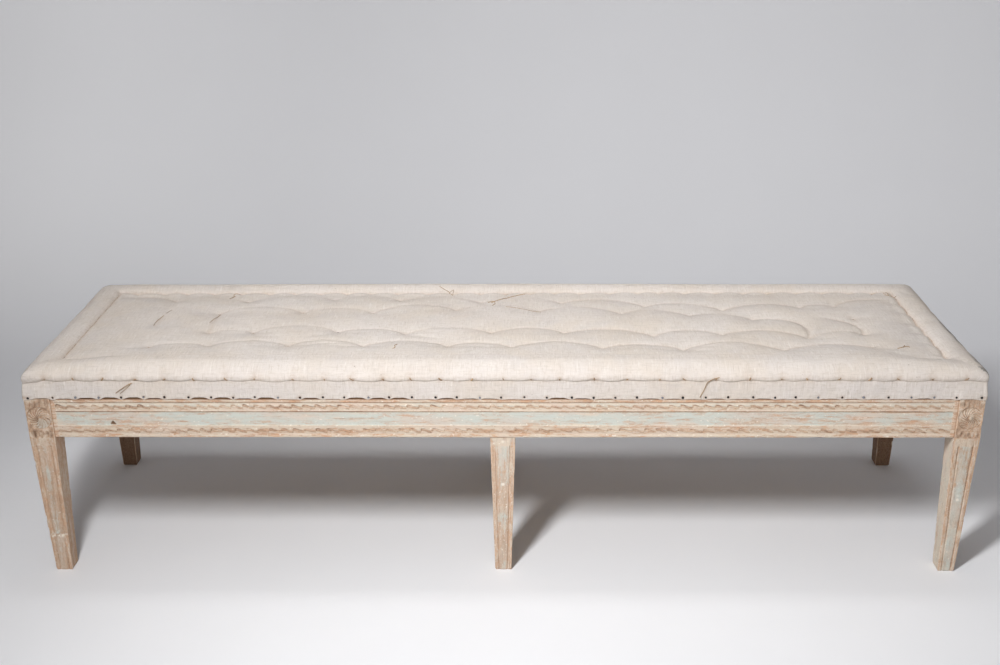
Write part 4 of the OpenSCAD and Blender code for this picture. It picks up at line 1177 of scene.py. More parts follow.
def corner_turn(kx, ky, o, m):
    """Place within a corner and the turn there. A ring goes straight, turns on its radius and goes
    straight again."""
    ratio = np.minimum(kx, ky) / np.maximum(np.maximum(kx, ky), 1)
    share = np.where(ky >= kx, ratio / 2, 1 - ratio / 2)
    r = CORNER_R * (0.25 + 0.95 * o / ROLL_W) * (1 - 0.66 * smooth(0.55, 0.97, m))
    r = np.minimum(r, o * 0.98)
    straight = o - r
    along = share * (2 * straight + math.pi / 2 * r)
    turn = np.clip((along - straight) / np.maximum(r, 1e-9), 0, math.pi / 2)
    past = np.clip(along - straight - math.pi / 2 * r, 0, None)
    return np.minimum(along, straight) + r * np.sin(turn), o - r * (1 - np.cos(turn)) - past, turn


def roll_waves(at, m, side, top):
    """Along the roll: pull of the inner and of the outer stitches, the outer ones' phase, slow and
    quicker changes of fullness, and cross folds."""
    waves = np.zeros((6,) + at.shape)
    waves[2] = 1.0
    for one, inner_seed, force in zip(SIDES.values(), INNER_SEAMS, (0.15, 1.0, 1.0, 0.25)):
        number = one.number
        here = (side == number) & ~top
        s = at[here]
        waves[0][here] = stitch_wave(s, inner_seed)[0] * force
        waves[1][here], waves[2][here] = one.stitches(s)
        waves[3][here] = line_noise(s, 0.21, 330 + number)
        waves[4][here] = line_noise(s, 0.05, 340 + number)
        crossing = line_noise(s + 0.15 * m[here], 0.028, 345 + number)
        folded = smooth(0.1, 0.7, line_noise(s, 0.09, 346 + number))
        waves[5][here] = bell(crossing, 0.16) * folded
    return waves


def cover_marks(x, y, mark, run, length, side, top, outer_t, mid):
    """Stain of the cover, with painted shade along the creases of the top, and how firmly stitches hold each
    point.
    """
    m = run / length
    from_seam = np.where(top, np.minimum(SEAM_X - np.abs(x), SEAM_Y - np.abs(y)).clip(0), run)
    ahead = (side == 0) | (top & (SEAM_Y + y < SEAM_X - np.abs(x)) & (y < 0))
    seam = np.exp(-from_seam / 0.0035) * np.where(ahead, 0.15, 1.0)
    seam = np.maximum(seam, np.where(top, 0, np.exp(-(length - run) / 0.005)))
    knot = np.exp(-(1 - m) / 0.13) * np.clip(1 - outer_t * 2.6, 0, 1) * (1 + 0.5 * mid)
    stain_and_shade = np.maximum(seam * 0.80, np.where(top, 0, knot) * 1.5)
    # Along the folds of the top the stain is painted shade in the creases
    stain_and_shade = np.maximum(stain_and_shade, np.where(top, mark * 0.55, 0))
    # Darker grey cloth, kept as negative stain, on the outer flanks of the end rolls and more on the right
    flank_darkening = np.where(side == 1, 1.0, np.where(side == 3, 0.30, 0)) * smooth(-0.5, 0.3, mid)
    stain_and_shade = stain_and_shade - np.where(top, 0, flank_darkening * smooth(0.48, 0.64, m) * (1 - smooth(0.88, 0.97, m)))
    loose = np.where(ahead, 1 - 0.9 * front_rise(x), 1.0)
    hold = np.maximum(np.where(top, mark ** 1.5, 0), bell(from_seam, 0.004) * loose)
    return stain_and_shade, np.maximum(hold, np.where(top, 0, smooth(0.86, 0.96, m)))


def cover_grid(step_x, step_y, rolls):
    """The whole seat cover, its top and the roll on all four sides: points, cloth coordinates, stain
    with painted shade in the creases, and how firmly stitches hold each point."""
    px, kx, sx = cover_axis(SEAM_X, step_x, rolls)
    py, ky, sy = cover_axis(SEAM_Y, step_y, rolls)
    px, py = np.meshgrid(px, py)
    kx, ky = np.meshgrid(kx, ky)
    sx, sy = np.meshgrid(sx, sy)
    offset, height, run = roll_section(rolls)
    k = np.maximum(kx, ky)
    o, z = offset[k], height[k]
    m = run[k] / run[-1]
    top, only_x, only_y, both = k == 0, (kx > 0) & (ky == 0), (ky > 0) & (kx == 0), (kx > 0) & (ky > 0)
    cx, cy, turn = corner_turn(kx, ky, o, m)
    x = np.where(only_x, sx * (SEAM_X + o), np.where(both, sx * (SEAM_X + cx), px))
    y = np.where(only_y, sy * (SEAM_Y + o), np.where(both, sy * (SEAM_Y + cy), py))
    flat, mark = top_height(np.where(top, x, 0), np.where(top, y, 0))
    front_lift = 0.0080 * front_rise(x) * bell(m, 0.13)
    z = np.where(top, flat, z + np.where(only_y & (sy < 0), front_lift, 0))
    # Place along the side, counted as in SIDES
    end = (np.abs(x) - SEAM_X) > (np.abs(y) - SEAM_Y)
    at = np.where(end, y, x)
    side = np.where(end, np.where(sx > 0, 1, 3), np.where(sy > 0, 2, 0))
    inner_pull, outer_pull, outer_t, slow, mid, folds = roll_waves(at, m, side, top)
    nx = np.where(both, np.sin(turn), np.where(only_x, 1.0, 0.0)) * sx
    ny = np.where(both, np.cos(turn), np.where(only_y, 1.0, 0.0)) * sy
    crest = bell(m - 0.36, 0.24)
    lift = crest * (0.0011 * slow + 0.0006 * mid - np.where(end, 0.0034, 0.0009) * folds)
    lift = lift - 0.0036 * inner_pull * np.exp(-m / 0.09)
    lift = lift + 0.0014 * crest * np.where(side == 1, line_noise(at, 0.024, 360), 0)
    z = z + np.where(top, 0, lift)
    flank = bell(m - 0.72, 0.20)
    wide_pull = np.clip(1 - outer_t * 1.15, 0, 1) ** 1.6
    swell = flank * np.where(end, 1.7, 1.0) * (0.0013 * slow + 0.0007 * mid - 0.0007 * folds)
    swell = swell - 0.0034 * outer_pull * np.exp(-(1 - m) / 0.07)
    swell = swell - 0.0014 * wide_pull * bell(m - 0.84, 0.10)
    hang = 0.0010 + 0.0005 * slow - 0.0013 * np.sin(math.pi / 2 * outer_t) ** 0.8 * (1 + 0.9 * mid)
    corner = np.exp(-np.clip(np.where(end, HALF_D - np.abs(y), HALF_L - np.abs(x)), 0, 1) / 0.014)
    sink = np.where((x < 0) & (y < 0), 0.0072, 0.0036) * corner
    droop = smooth(0.72, 0.97, m) * (hang + 0.0016 * outer_pull - sink)
    wrinkle = fbm(np.stack([at, m * 0.1, side * 1.0], -1), (0.011, 0.05, 1), 350)
    low = smooth(0.60, 0.92, m) * 0.0008 * wrinkle * (0.5 + outer_pull)
    out = np.where(top, 0, swell + low)
    x, y, z = x + nx * out, y + ny * out, z + np.where(top, 0, droop)
    stain_and_shade, hold = cover_marks(x, y, mark, run[k], run[-1], side, top, outer_t, mid)
    return np.stack([x, y, z], -1), plane(px + sx * run[kx], py + sy * run[ky]), stain_and_shade, hold


def cloth_back(points, thickness, reach=2):
    """The inner skin of a cloth: behind every neighbour within reach, so that it never shows through."""
    normals = grid_normals(points)
    rows, columns = points.shape[:2]
    deep = np.zeros((rows, columns))
    for di in range(-reach, reach + 1):
        for dj in range(-reach, reach + 1):
            low = ((np.roll(points, (di, dj), (0, 1)) - points) * normals).sum(-1)
            i, j = np.arange(rows) - di, np.arange(columns) - dj
            low[(i < 0) | (i >= rows)] = 0
            low[:, (j < 0) | (j >= columns)] = 0
            deep = np.minimum(deep, low)
    return points + normals * np.clip(deep, -0.006, 0)[..., None] - normals * thickness


def linen():
    """Unbleached linen of uneven, slubby yarn in plain weave."""
    s = Shader("linen", roughness=0.92, specular=0.12)
    cloth = s.attribute("cloth", vector=True)
    stain_and_shade = s.attribute("stain_and_shade")
    u, v = s.split(cloth)[:2]
    slub_u = s.noise(cloth, (34, 560, 1), rough=0.6)
    slub_v = s.noise(cloth, (560, 34, 1), rough=0.6)
    long_u = s.noise(cloth, (26, 250, 1), rough=0.6)
    long_v = s.noise(cloth, (250, 26, 1), rough=0.6)
    blotch = s.noise(cloth, 5.5, detail=4)
    cloud = s.noise(cloth, 16.0, detail=4, rough=0.6)
    mottle = s.noise(cloth, 130.0, rough=0.65)
    colour = s.mix(s.ramp(blotch, 0.35, 0.68), linear(228, 220, 214), linear(224, 213, 202))
    colour = s.coat(colour, cloud, (0.42, 0.75, 0.0, 0.55), (216, 209, 205))
    colour = s.coat(colour, slub_v, (0.50, 0.76, 0.0, 0.76), (201, 190, 179))
    colour = s.coat(colour, slub_u, (0.50, 0.76, 0.0, 0.62), (203, 193, 183))
    colour = s.coat(colour, long_v, (0.52, 0.76, 0.0, 0.65), (240, 234, 228))
    colour = s.coat(colour, long_u, (0.50, 0.76, 0.0, 0.50), (206, 197, 188))
    colour = s.coat(colour, mottle, (0.50, 0.78, 0.0, 0.55), (204, 192, 179))
    # Rust-brown marks near the stitches and, as painted shade, along the creases of the top; rare dark seeds
    # in the yarn
    rust_and_crease_shade = s.times(s.math("MAXIMUM", stain_and_shade, 0.0), s.ramp(mottle, 0.30, 0.62, 0.35, 1.0))
    colour = s.mix(s.times(rust_and_crease_shade, 0.70), colour, linear(180, 148, 118))
    # Darker grey where the stain runs negative, on the outer flanks of the end rolls
    flank_grey = s.times(s.ramp(stain_and_shade, -1.0, -0.1, 1.0, 0.0), s.ramp(cloud, 0.42, 0.58, 0.20, 0.90))
    colour = s.mix(flank_grey, colour, linear(128, 126, 121))
    seed = s.noise(cloth, 170.0, detail=1, rough=0.3)
    colour = s.coat(colour, seed, (0.81, 0.85, 0.0, 0.75), (120, 100, 84))
    # Plain weave: over and under yarns 1.15 mm apart, disturbed by their slubs
    turns = 2 * math.pi / 0.00115
    wander = s.times(s.math("SUBTRACT", mottle, 0.5), 2.2)
    across = s.math("SINE", s.plus(s.times(u, turns), wander))
    along = s.math("SINE", s.plus(s.times(v, turns), wander))
    weave = s.times(across, along)
    yarn = s.plus(s.times(slub_u, 1.6), s.times(slub_v, 1.6))
    height = s.plus(s.times(weave, 0.35), yarn)
    shade = s.ramp(weave, -1.0, 0.2, 0.18, 0.0)
    colour = s.mix(shade, colour, linear(172, 158, 146))
    return s.finish(colour=colour, roughness=s.ramp(slub_v, 0.3, 0.8, 0.95, 0.86),
                    normal=s.bump(height, 0.0005, 0.85))


def puffed(points, hold):
    """How far the filling pushes each point of the cover out between its stitches: a cloth simulation
    on every second point, under pressure from below, with the stitches held."""
    rows, columns = points.shape[:2]
    coarse = points[::2, ::2]
    r2, c2 = coarse.shape[:2]
    mesh = bpy.data.meshes.new("settling")
    mesh.from_pydata(coarse.reshape(-1, 3).tolist(), [], grid_faces(r2, c2).tolist())
    o = bpy.data.objects.new("settling", mesh)
    scene = bpy.context.scene
    scene.collection.objects.link(o)
    held = o.vertex_groups.new(name="stitches")
    for k, weight in enumerate(hold[::2, ::2].ravel().tolist()):
        if weight > 0.02:
            held.add([k], min(weight, 1.0), "REPLACE")
    cloth = o.modifiers.new("cloth", "CLOTH")
    cloth.settings.quality = 4
    cloth.settings.mass = 0.3
    cloth.settings.tension_stiffness = 12
    cloth.settings.compression_stiffness = 12
    cloth.settings.shear_stiffness = 4
    cloth.settings.bending_stiffness = 0.05
    cloth.settings.use_pressure = True
    cloth.settings.uniform_pressure_force = 3.2
    cloth.settings.vertex_group_mass = "stitches"
    cloth.settings.effector_weights.gravity = 0
    cloth.collision_settings.use_self_collision = False
    for frame in range(1, 21):
        scene.frame_set(frame)
    moved = o.evaluated_get(bpy.context.evaluated_depsgraph_get()).data
    after = np.empty(r2 * c2 * 3)
    moved.vertices.foreach_get("co", after)
    push = after.reshape(r2, c2, 3) - coarse
    bpy.data.objects.remove(o)
    bpy.data.meshes.remove(mesh)
    scene.frame_set(1)
    size = np.linalg.norm(push, axis=-1)
    push = push * (np.minimum(size, MOST_PUSH) / np.maximum(size, 1e-9))[..., None]
    # Back to the full grid, halfway values between neighbours
    full = np.zeros((rows, columns, 3))
    full[::2, ::2] = push
    full[1::2, ::2] = (push[:-1] + push[1:]) / 2
    full[:, 1::2] = (full[:, :-1:2] + full[:, 2::2]) / 2
    return full


def add_cover():
    """The tufted cover with its stitched edge roll, and the horsehair inside it."""
    points, cloth, stain_and_shade, hold = cover_grid(0.0042, 0.0036, 27)
    points = points + puffed(points, hold)
    back = cloth_back(points, CLOTH_T)[::2, ::2]
    skin, faces = shell(points, back, 2)
    looks = {"cloth": np.concatenate([cloth.reshape(-1, 3), cloth[::2, ::2].reshape(-1, 3)]),
             "stain_and_shade": np.concatenate([stain_and_shade.ravel(), np.zeros(back.size // 3)])}
    cover = new_object("linen_seat_cover", skin, faces, LINEN, "linen_cover", looks)
    # The pad fills the cover and ends flat on the hessian
    inside = cloth_back(back[::2, ::2], 0.0010, 1)
    rows, columns = inside.shape[:2]
    edge = rim(rows, columns)
    flat = inside.reshape(-1, 3)
    walls, start = [], rows * columns
    for z, inset in ((0.4300, 0.0015), (0.4210, 0.0010), (0.4140, 0.0012), (0.4113, 0.0035)):
        ring = flat[edge].copy()
        ring[:, 0] -= np.sign(ring[:, 0]) * inset
        ring[:, 1] -= np.sign(ring[:, 1]) * inset
        ring[:, 2] = z
        walls.append(ring)
    n = len(edge)
    faces = grid_faces(rows, columns).tolist()
    faces += [[edge[(k + 1) % n], edge[k], start + k, start + (k + 1) % n] for k in range(n)]
    faces += grid_faces(len(walls), n, close_columns=True, start=start, flip=True).tolist()
    last = start + (len(walls) - 1) * n
    faces.append([last + k for k in range(n)][::-1])
    pad = new_object("horsehair_pad", np.concatenate([flat] + walls), faces, HORSEHAIR,
                     "horsehair_stuffing")
    return points


# Linen border and its tacks

def border_piece(side, seed, lift_left, lift_right):
    """The strip under the roll. Its hem lifts a little between the tacks, by amounts for each end."""
    half, tacks = side.half, side.tacks
    end = half + 0.0009 if side.name in ("front", "rear") else half - 0.0004
    x = np.linspace(-end, end, int(2 * end / 0.0022))
    t = np.concatenate([[0, 0.012, 0.03], np.linspace(0.06, 0.90, 13), [0.94, 0.97, 1.0]])
    px, pt = np.meshgrid(x, t)
    after = np.clip(np.searchsorted(tacks, px), 1, len(tacks) - 1)
    left, right = tacks[after - 1], tacks[after]
    f = np.clip((px - left) / (right - left), 0, 1)
    cell = after * 1.0
    chance = line_noise(cell * 1.31 + 0.4, 1.0, seed)
    bias = lift_left + (lift_right - lift_left) * smooth(-half, half, px)
    lift = np.clip(bias * (1 + 1.1 * chance), 0, 0.0056)
    skew = 0.5 + 0.16 * line_noise(cell * 1.9, 1.0, seed + 1)
    arch = np.where(f < skew, f / skew / 2, 0.5 + (f - skew) / (1 - skew) / 2)
    arch = smooth(0.05, 0.9, np.sin(math.pi * np.clip(arch, 0, 1)))
    hem = HEM_Z - 0.0005 + lift * arch + 0.0003 * line_noise(px, 0.006, seed + 2)
    top = LOW_SEAM_Z + 0.0034
    z = hem + (top - hem) * pt
    near = np.minimum(px - left, right - px).clip(0)
    pinch = bell(near, 0.0040) * bell(z - TACK_Z, 0.004)
    lean = smooth(0.12, 0.92, pt)
    out = 0.0013 + 0.0006 * np.sin(math.pi * np.clip(pt, 0, 1)) + lift * 0.34 * arch * np.exp(-pt / 0.25)
    out = out + 0.0007 * fbm(plane(px, z), (0.022, 0.05, 1), seed + 3) * smooth(0.02, 0.3, pt)
    out = out + 0.0005 * fbm(plane(px - 0.25 * z, z), (0.008, 0.04, 1), seed + 4) * smooth(0.02, 0.3, pt)
    out = out - 0.0008 * pinch * smooth(0.02, 0.08, pt)
    pull = side.stitches(px)[0]
    out = out - 0.0009 * pull * smooth(0.45, 0.85, pt)
    tuck = 0.0010 * smooth(0.92, 0.99, pt) + 0.0030 * lean
    y = side.ground(px) * (1 - lean) - out + tuck
    if side.name == "front":
        y = y - 0.0008 * smooth(end - 0.0075, end - 0.0060, px)
    px = px - np.sign(px) * 0.0030 * lean * smooth(end - 0.02, end, np.abs(px))
    points = side.placed(np.stack([px, y, z], -1))
    skin, faces = shell(points, cloth_back(points, CLOTH_T, 1))
    cloth = plane(px + 3 + seed * 0.01, z)
    stain_and_shade = 0.25 * np.exp(-pt / 0.05) + 0.75 * np.exp(-(1 - pt) / 0.10) * (0.4 + 0.6 * pull)
    stain_and_shade = np.maximum(stain_and_shade, 0.8 * bell(np.hypot(near, z - TACK_Z), 0.0038))
    looks = {"cloth": np.concatenate([cloth, cloth * 0]), "stain_and_shade": np.concatenate([stain_and_shade, stain_and_shade * 0])}
    node = "linen_border_" + side.name
    o = new_object(node + "_strip", skin, faces, LINEN, node, looks)


def add_borders():
    """The four strips. The front one lifts most at its left end."""
    border_piece(SIDES["front"], 411, 0.0038, 0.0014)
    for name, seed in (("rear", 421), ("left", 431), ("right", 441)):
        border_piece(SIDES[name], seed, 0.0022, 0.0022)


def tack(side, k):
    """Points and faces of one hand-forged tack with a low, uneven head."""
    wide, high, rise, tilt_x, tilt_z, spin = (lattice(k, side.number, j, 500) for j in range(1, 7))
    size, height = 0.00235 * (1 + 0.13 * wide), 0.0044 * (1 + 0.25 * high)
    uneven = 0.07 * np.array([lattice(k, j, 7, 500) for j in range(12)])
    rings = []
    for share, level in ((0.40, 0.26), (0.80, 0.17), (1.0, 0.05), (1.0, -0.02), (0.30, -0.04)):
        a = (np.arange(12) + 0.5 * spin) * 2 * math.pi / 12
        r = size * share * (1 + uneven * (share > 0.5))
        px, pz = r * np.cos(a), r * np.sin(a)
        rings.append(np.stack([px, 0.16 * tilt_x * px + 0.16 * tilt_z * pz - height * level, pz], -1))
    for depth, r in ((0.0002, 0.0007), (0.0042, 0.0007), (0.0094, 0.0002)):
        a = np.arange(12) * 2 * math.pi / 12
        rings.append(np.stack([r * np.cos(a), np.full(12, depth), r * np.sin(a)], -1))
    points = np.concatenate([[[0, -0.30 * height, 0]]] + rings)
    x = side.tacks[k]
    points = points + (x, float(side.ground(x)) - 0.0016, TACK_Z + 0.0007 * rise)
    faces = [[0, 1 + j, 1 + (j + 1) % 12] for j in range(12)]
    faces += grid_faces(len(rings), 12, close_columns=True, start=1, flip=True).tolist()
    faces.append([1 + (len(rings) - 1) * 12 + j for j in range(12)][::-1])
    return side.placed(points), faces


def add_tacks():
    """The tacks along the hem, one piece for each side."""
    for side in SIDES.values():
        points, faces = joined([tack(side, k) for k in range(len(side.tacks))])
        new_object("tack_heads_" + side.name, points, faces, IRON, "tacks_" + side.name,
                   sharp_angle=60)


def iron():
    """Blackened iron; some heads are rubbed or rusted."""
    s = Shader("old_iron", roughness=0.45, specular=0.5)
    head = s.add("ShaderNodeTexVoronoi", feature="F1")
    s.put(head.inputs["Vector"], s.position())
    head.inputs["Scale"].default_value = 22.0
    pick = s.split(head.outputs["Color"])
    fine = s.noise(s.position(), 900.0)
    rubbed = s.ramp(pick[0], 0.66, 0.74)
    rusty = s.ramp(pick[1], 0.6, 0.8)
    colour = s.mix(fine, linear(34, 33, 34), linear(58, 54, 52))
    colour = s.mix(s.times(rusty, s.ramp(fine, 0.45, 0.65)), colour, linear(104, 72, 50))
    colour = s.mix(s.times(rubbed, 0.8), colour, linear(140, 144, 152))
    s.main.inputs["Metallic"].default_value = 0.35
    return s.finish(colour=colour, roughness=s.ramp(fine, 0.3, 0.7, 0.34, 0.62),
                    normal=s.bump(fine, 0.0003, 0.4))


# Webbing, hessian and stuffing

def sag(x, y):
    """How far the webbing hangs below its place on the rails, which is nothing over them."""
    return 0.0028 * np.clip(1 - (x / 0.91) ** 2, 0, 1) * np.clip(1 - (y / 0.225) ** 2, 0, 1)


def webbing():
    """Coarse hemp webbing with two woven guide lines."""
    s = Shader("hemp_web", roughness=0.92, specular=0.1)
    cloth = s.attribute("cloth", vector=True)
    u, v = s.split(cloth)[:2]
    fibre = s.noise(cloth, (30, 420, 1), rough=0.65)
    cross = s.noise(cloth, (500, 40, 1))
    colour = s.mix(fibre, linear(196, 172, 134), linear(158, 132, 96))
    colour = s.coat(colour, cross, (0.5, 0.75, 0.0, 0.5), (134, 108, 76))
    line = s.math("ABSOLUTE", s.math("SUBTRACT", s.math("ABSOLUTE", v), 0.019))
    colour = s.coat(colour, line, (0.0014, 0.0020, 0.7, 0.0), (92, 66, 48))
    twill = s.wave(s.plus(u, s.math("ABSOLUTE", v)), 0.0034)
    ribs = s.wave(v, 0.0021)
    height = s.plus(s.times(twill, 0.5), s.plus(ribs, fibre))
    colour = s.coat(colour, twill, (-1.0, 0.0, 0.25, 0.0), (96, 74, 50))
    return s.finish(colour=colour, normal=s.bump(height, 0.0006, 0.8))


def hessian():
    """Open jute hessian."""
    s = Shader("jute_hessian", roughness=0.95, specular=0.1)
    cloth = s.attribute("cloth", vector=True)
    u, v = s.split(cloth)[:2]
    a = s.noise(cloth, (40, 520, 1), rough=0.7)
    b = s.noise(cloth, (520, 40, 1), rough=0.7)
    weave = s.times(s.wave(u, 0.0030), s.wave(v, 0.0030))
    colour = s.mix(a, linear(178, 148, 104), linear(140, 110, 72))
    colour = s.coat(colour, b, (0.5, 0.75, 0.0, 0.5), (112, 86, 56))
    colour = s.coat(colour, weave, (-0.9, 0.0, 0.6, 0.0), (70, 52, 36))
    height = s.plus(s.times(weave, 0.8), s.plus(a, b))
    return s.finish(colour=colour, normal=s.bump(height, 0.0008, 0.8))


def horsehair():
    """Curled dark hair, seen only if the cover is taken off."""
    s = Shader("curled_hair", roughness=0.6, specular=0.4)
    a = s.noise(s.position(), 260.0, detail=4, rough=0.7, distortion=3.0)
    b = s.noise(s.position(), 90.0, distortion=2.0)
    colour = s.mix(a, linear(38, 30, 26), linear(104, 84, 68))
    colour = s.coat(colour, b, (0.5, 0.8, 0.0, 0.6), (20, 17, 15))
    return s.finish(colour=colour, normal=s.bump(a, 0.003, 1.0))


def girth_path(reach, crossings):
    """Along a girth: folded end, flat run that climbs over the crossings, and folded end."""
    t = 0.0016
    inner = reach - 0.022
    xs = np.linspace(-reach, reach, int(reach * 2 / 0.006))
    lift = np.zeros_like(xs)
    for c in crossings:
        lift = np.maximum(lift, 1 - smooth(0.033, 0.046, np.abs(xs - c)))
    run = np.stack([xs, t / 2 + (t + 0.0003) * lift], 1)
    fold = np.array([(-inner, t * 1.55), (-inner - 0.008, t * 1.52), (-reach + 0.0016, t * 1.5),
                     (-reach + 0.0004, t * 1.28), (-reach - 0.0001, t), (-reach + 0.0002, t * 0.72)])
    return np.concatenate([fold, run[1:-1], fold[::-1] * (-1, 1)])


def add_webbing():
    """Interlaced girths, four along the stool and thirteen across it."""
    ys = (np.arange(4) - 1.5) * (FRAME_D - 2 * (RAIL_SET + RAIL_T)) / 4
    xs = (np.arange(13) - 6.0) * (FRAME_L - 2 * (RAIL_SET + RAIL_T)) / 13
    inset = RAIL_SET + 0.003
    v = np.linspace(-0.0298, 0.0298, 11)[:, None]
    for node, reach, places, crossed, parity in (("webbing_lengthwise", HALF_L - inset, ys, xs, 1),
                                                 ("webbing_crosswise", HALF_D - inset, xs, ys, 0)):
        parts, cloth = [], []
        for m, place in enumerate(places):
            path = girth_path(reach, [c for k, c in enumerate(crossed) if (k + m) % 2 == parity])
            edge = 0.0004 * line_noise(path[:, 0], 0.03, 600 + m)
            x, y = path[:, 0] + v * 0, place + v * (1 + edge / 0.03)
            c = np.stack([run_along(path) + 2.0 * m + v * 0, v + x * 0, x * 0], -1)
            if node == "webbing_crosswise":
                x, y = y, x
            z = TOP_Z + path[:, 1] - sag(x, y) + 0.0002 * (np.abs(v) / 0.03) ** 4
            sheet = np.stack([x, y, z], -1)
            if node == "webbing_crosswise":
                sheet, c = sheet[::-1], c[::-1]
            skin, faces = shell(sheet, sheet - grid_normals(sheet) * WEB_T)
            skin[:, 2] += WEB_T / 2
            parts.append((skin, faces))
            cloth += [c.reshape(-1, 3)] * 2
        points, faces = joined(parts)
        looks = {"cloth": np.concatenate(cloth)}
        new_object(node + "_woven", points, faces, HEMP, node, looks)


def add_hessian():
    """The sheet over the girths, which follows their sag."""
    half_x, half_y = HESSIAN[0] / 2, HESSIAN[1] / 2
    px, py = np.meshgrid(np.linspace(-half_x, half_x, 237), np.linspace(-half_y, half_y, 65))
    ripple = 0.00025 * fbm(plane(px, py), 0.05, 640)
    points = np.stack([px, py, TOP_Z + 0.0049 - sag(px, py) + np.abs(ripple)], -1)
    skin, faces = shell(points, points - grid_normals(points) * JUTE_T)
    looks = {"cloth": np.concatenate([plane(px, py).reshape(-1, 3)] * 2)}
    o = new_object("hessian_sheet", skin, faces, JUTE, "base_hessian", looks)


# Joinery inside the frame

PEG_L = 0.038


def peg(out, at):
    """Points and faces of a whittled peg. Its end is at a place and faces the direction out."""
    out, up = np.array(out, float), np.array((0, 0, 1.0))
    side = np.cross(out, up)
    seed = int(abs(at[0]) * 3000 + abs(at[1]) * 7000 + at[2] * 9000)
    proud = 0.0011 + 0.0007 * lattice(seed, 1, 1, 700)
    rings = []
    for depth, share in ((proud, 0.80), (proud - 0.0006, 0.96), (0.0, 1.0), (-PEG_L, 0.94)):
        for j in range(9):
            a = (j + lattice(seed, 2, 2, 700)) * 2 * math.pi / 9
            r = 0.0039 * share * (1 + 0.05 * lattice(seed, j, 3, 700))
            rings.append(np.array(at) + out * depth + side * r * math.cos(a) + up * r * math.sin(a))
    return np.array(rings), ring_faces(4, 9)


def add_pegs():
    """Pegs whose ends stand a little proud of the legs' inner faces."""
    in_x, in_y, tenon = LEG_X - LEG_W / 2, LEG_Y - LEG_W / 2, LEG_W / 2 - 0.014
    corner, middle = [], []
    for sx in (-1, 1):
        for sy in (-1, 1):
            for z in (0.024, 0.054):
                corner.append(peg((0, -sy, 0), (sx * (LEG_X - tenon), sy * in_y, LEG_H + z)))
                corner.append(peg((-sx, 0, 0), (sx * in_x, sy * (LEG_Y - tenon), LEG_H + z + 0.011)))
    for sy in (-1, 1):
        for x, z in ((-LEG_W / 4, 0.018), (LEG_W / 4, 0.065)):
            middle.append(peg((0, -sy, 0), (x * -sy, sy * (MID_Y - LEG_W / 2), LEG_H + z)))
    for name, node, parts in (("corner_pegs_whittled", "corner_joint_pegs", corner),
                              ("middle_pegs_whittled", "middle_leg_pegs", middle)):
        points, faces = joined(parts)
        new_object(name, points, faces, OAK, node, sharp_angle=35)


def dress_frame_nodes():
    """Better materials on the CAD pieces that keep their own shape."""
    for name, node in frame["nodes"].items():
        for start, material in (("centre_cross_rail", CROSS_PINE), ("corner_block", BLOCK_PINE),
                                ("webbing_tacks", IRON)):
            if name.startswith(start):
                node.data.materials.clear()
                node.data.materials.append(material)


# Twine

def twine():
    """Waxed linen twine, brown with age."""
    s = Shader("linen_twine", roughness=0.8, specular=0.2)
    a = s.noise(s.position(), 900.0)
    b = s.noise(s.position(), 30.0, detail=2)
    colour = s.mix(s.ramp(b, 0.35, 0.65), linear(176, 146, 112), linear(126, 98, 72))
    colour = s.coat(colour, a, (0.4, 0.7, 0.0, 0.7), (214, 192, 162))
    return s.finish(colour=colour, normal=s.bump(a, 0.0004, 0.8))


class Seat:
    """Finds places on the seat cover for threads to lie on."""

    def __init__(self, points):
        faces = grid_faces(*points.shape[:2]).tolist()
        self.tree = BVHTree.FromPolygons(points.reshape(-1, 3).tolist(), faces)

    def drop(self, x, y, above):
        """The place over x and y, a little above the cloth."""
        hit = self.tree.ray_cast(Vector((x, y, 0.6)), Vector((0, 0, -1)))
        return np.array((x, y, hit[0].z + above))

    def press(self, side, x, z, above):
        """The place on the flank of a side's roll, a little in front of the cloth."""
        start = Vector(side.placed((x, -0.1, z)))
        aim = Vector((-math.sin(side.turn), math.cos(side.turn), 0))
        for step in range(9):
            hit = self.tree.ray_cast(start + Vector((0, 0, 0.0006 * step)), aim)
            if hit[0] is not None:
                break
        return np.array(hit[0]) - np.array(aim) * above


def seam_knots(seat, side):
    """Short, leaning stitches in the seam under the roll."""
    parts = []
    xs = np.arange(-side.half + 0.012, side.half - 0.010, 0.002)
    wave = side.stitches(xs)[0]
    for k in range(1, len(xs) - 1):
        if wave[k] > 0.86 and wave[k - 1] <= wave[k] > wave[k + 1]:
            long, lean, thick = (lattice(k, side.number, j, 800) for j in (0, 1, 4))
            long, lean = 0.0034 + 0.0024 * long, 0.0042 * lean
            line = [seat.press(side, xs[k] - lean, LOW_SEAM_Z + 0.0038 + long, 0.0001),
                    seat.press(side, xs[k], LOW_SEAM_Z + 0.0046, 0.0009),
                    seat.press(side, xs[k] + lean, LOW_SEAM_Z + 0.0034, -0.0004)]
            parts.append(tube(spline(line, 8), 0.0011 + 0.0004 * thick))
    return parts


def running_stitches(seat, along, across, rear, seed, gap):
    """Stitches that show along one inner seam; a greater gap makes them sparser."""
    parts = []
    start, k = -along + 0.030, 0
    while start < along - 0.030:
        long, shown, step = (lattice(k, j, 3, seed) for j in range(3))
        length = 0.017 + 0.009 * long
        if shown > gap - 0.9:
            line = []
            for run in np.linspace(start, start + length, 7):
                off = across + 0.0006 * line_noise([run], 0.012, seed + 1)[0]
                line.append(seat.drop(*((run, off) if rear else (off, run)), 0.00015))
            line[0][2] -= 0.0008
            line[-1][2] -= 0.0008
            parts.append(tube(np.array(line), 0.00050, 6))
        start += length + 0.003 + 0.002 * step
        k += 1
    return parts


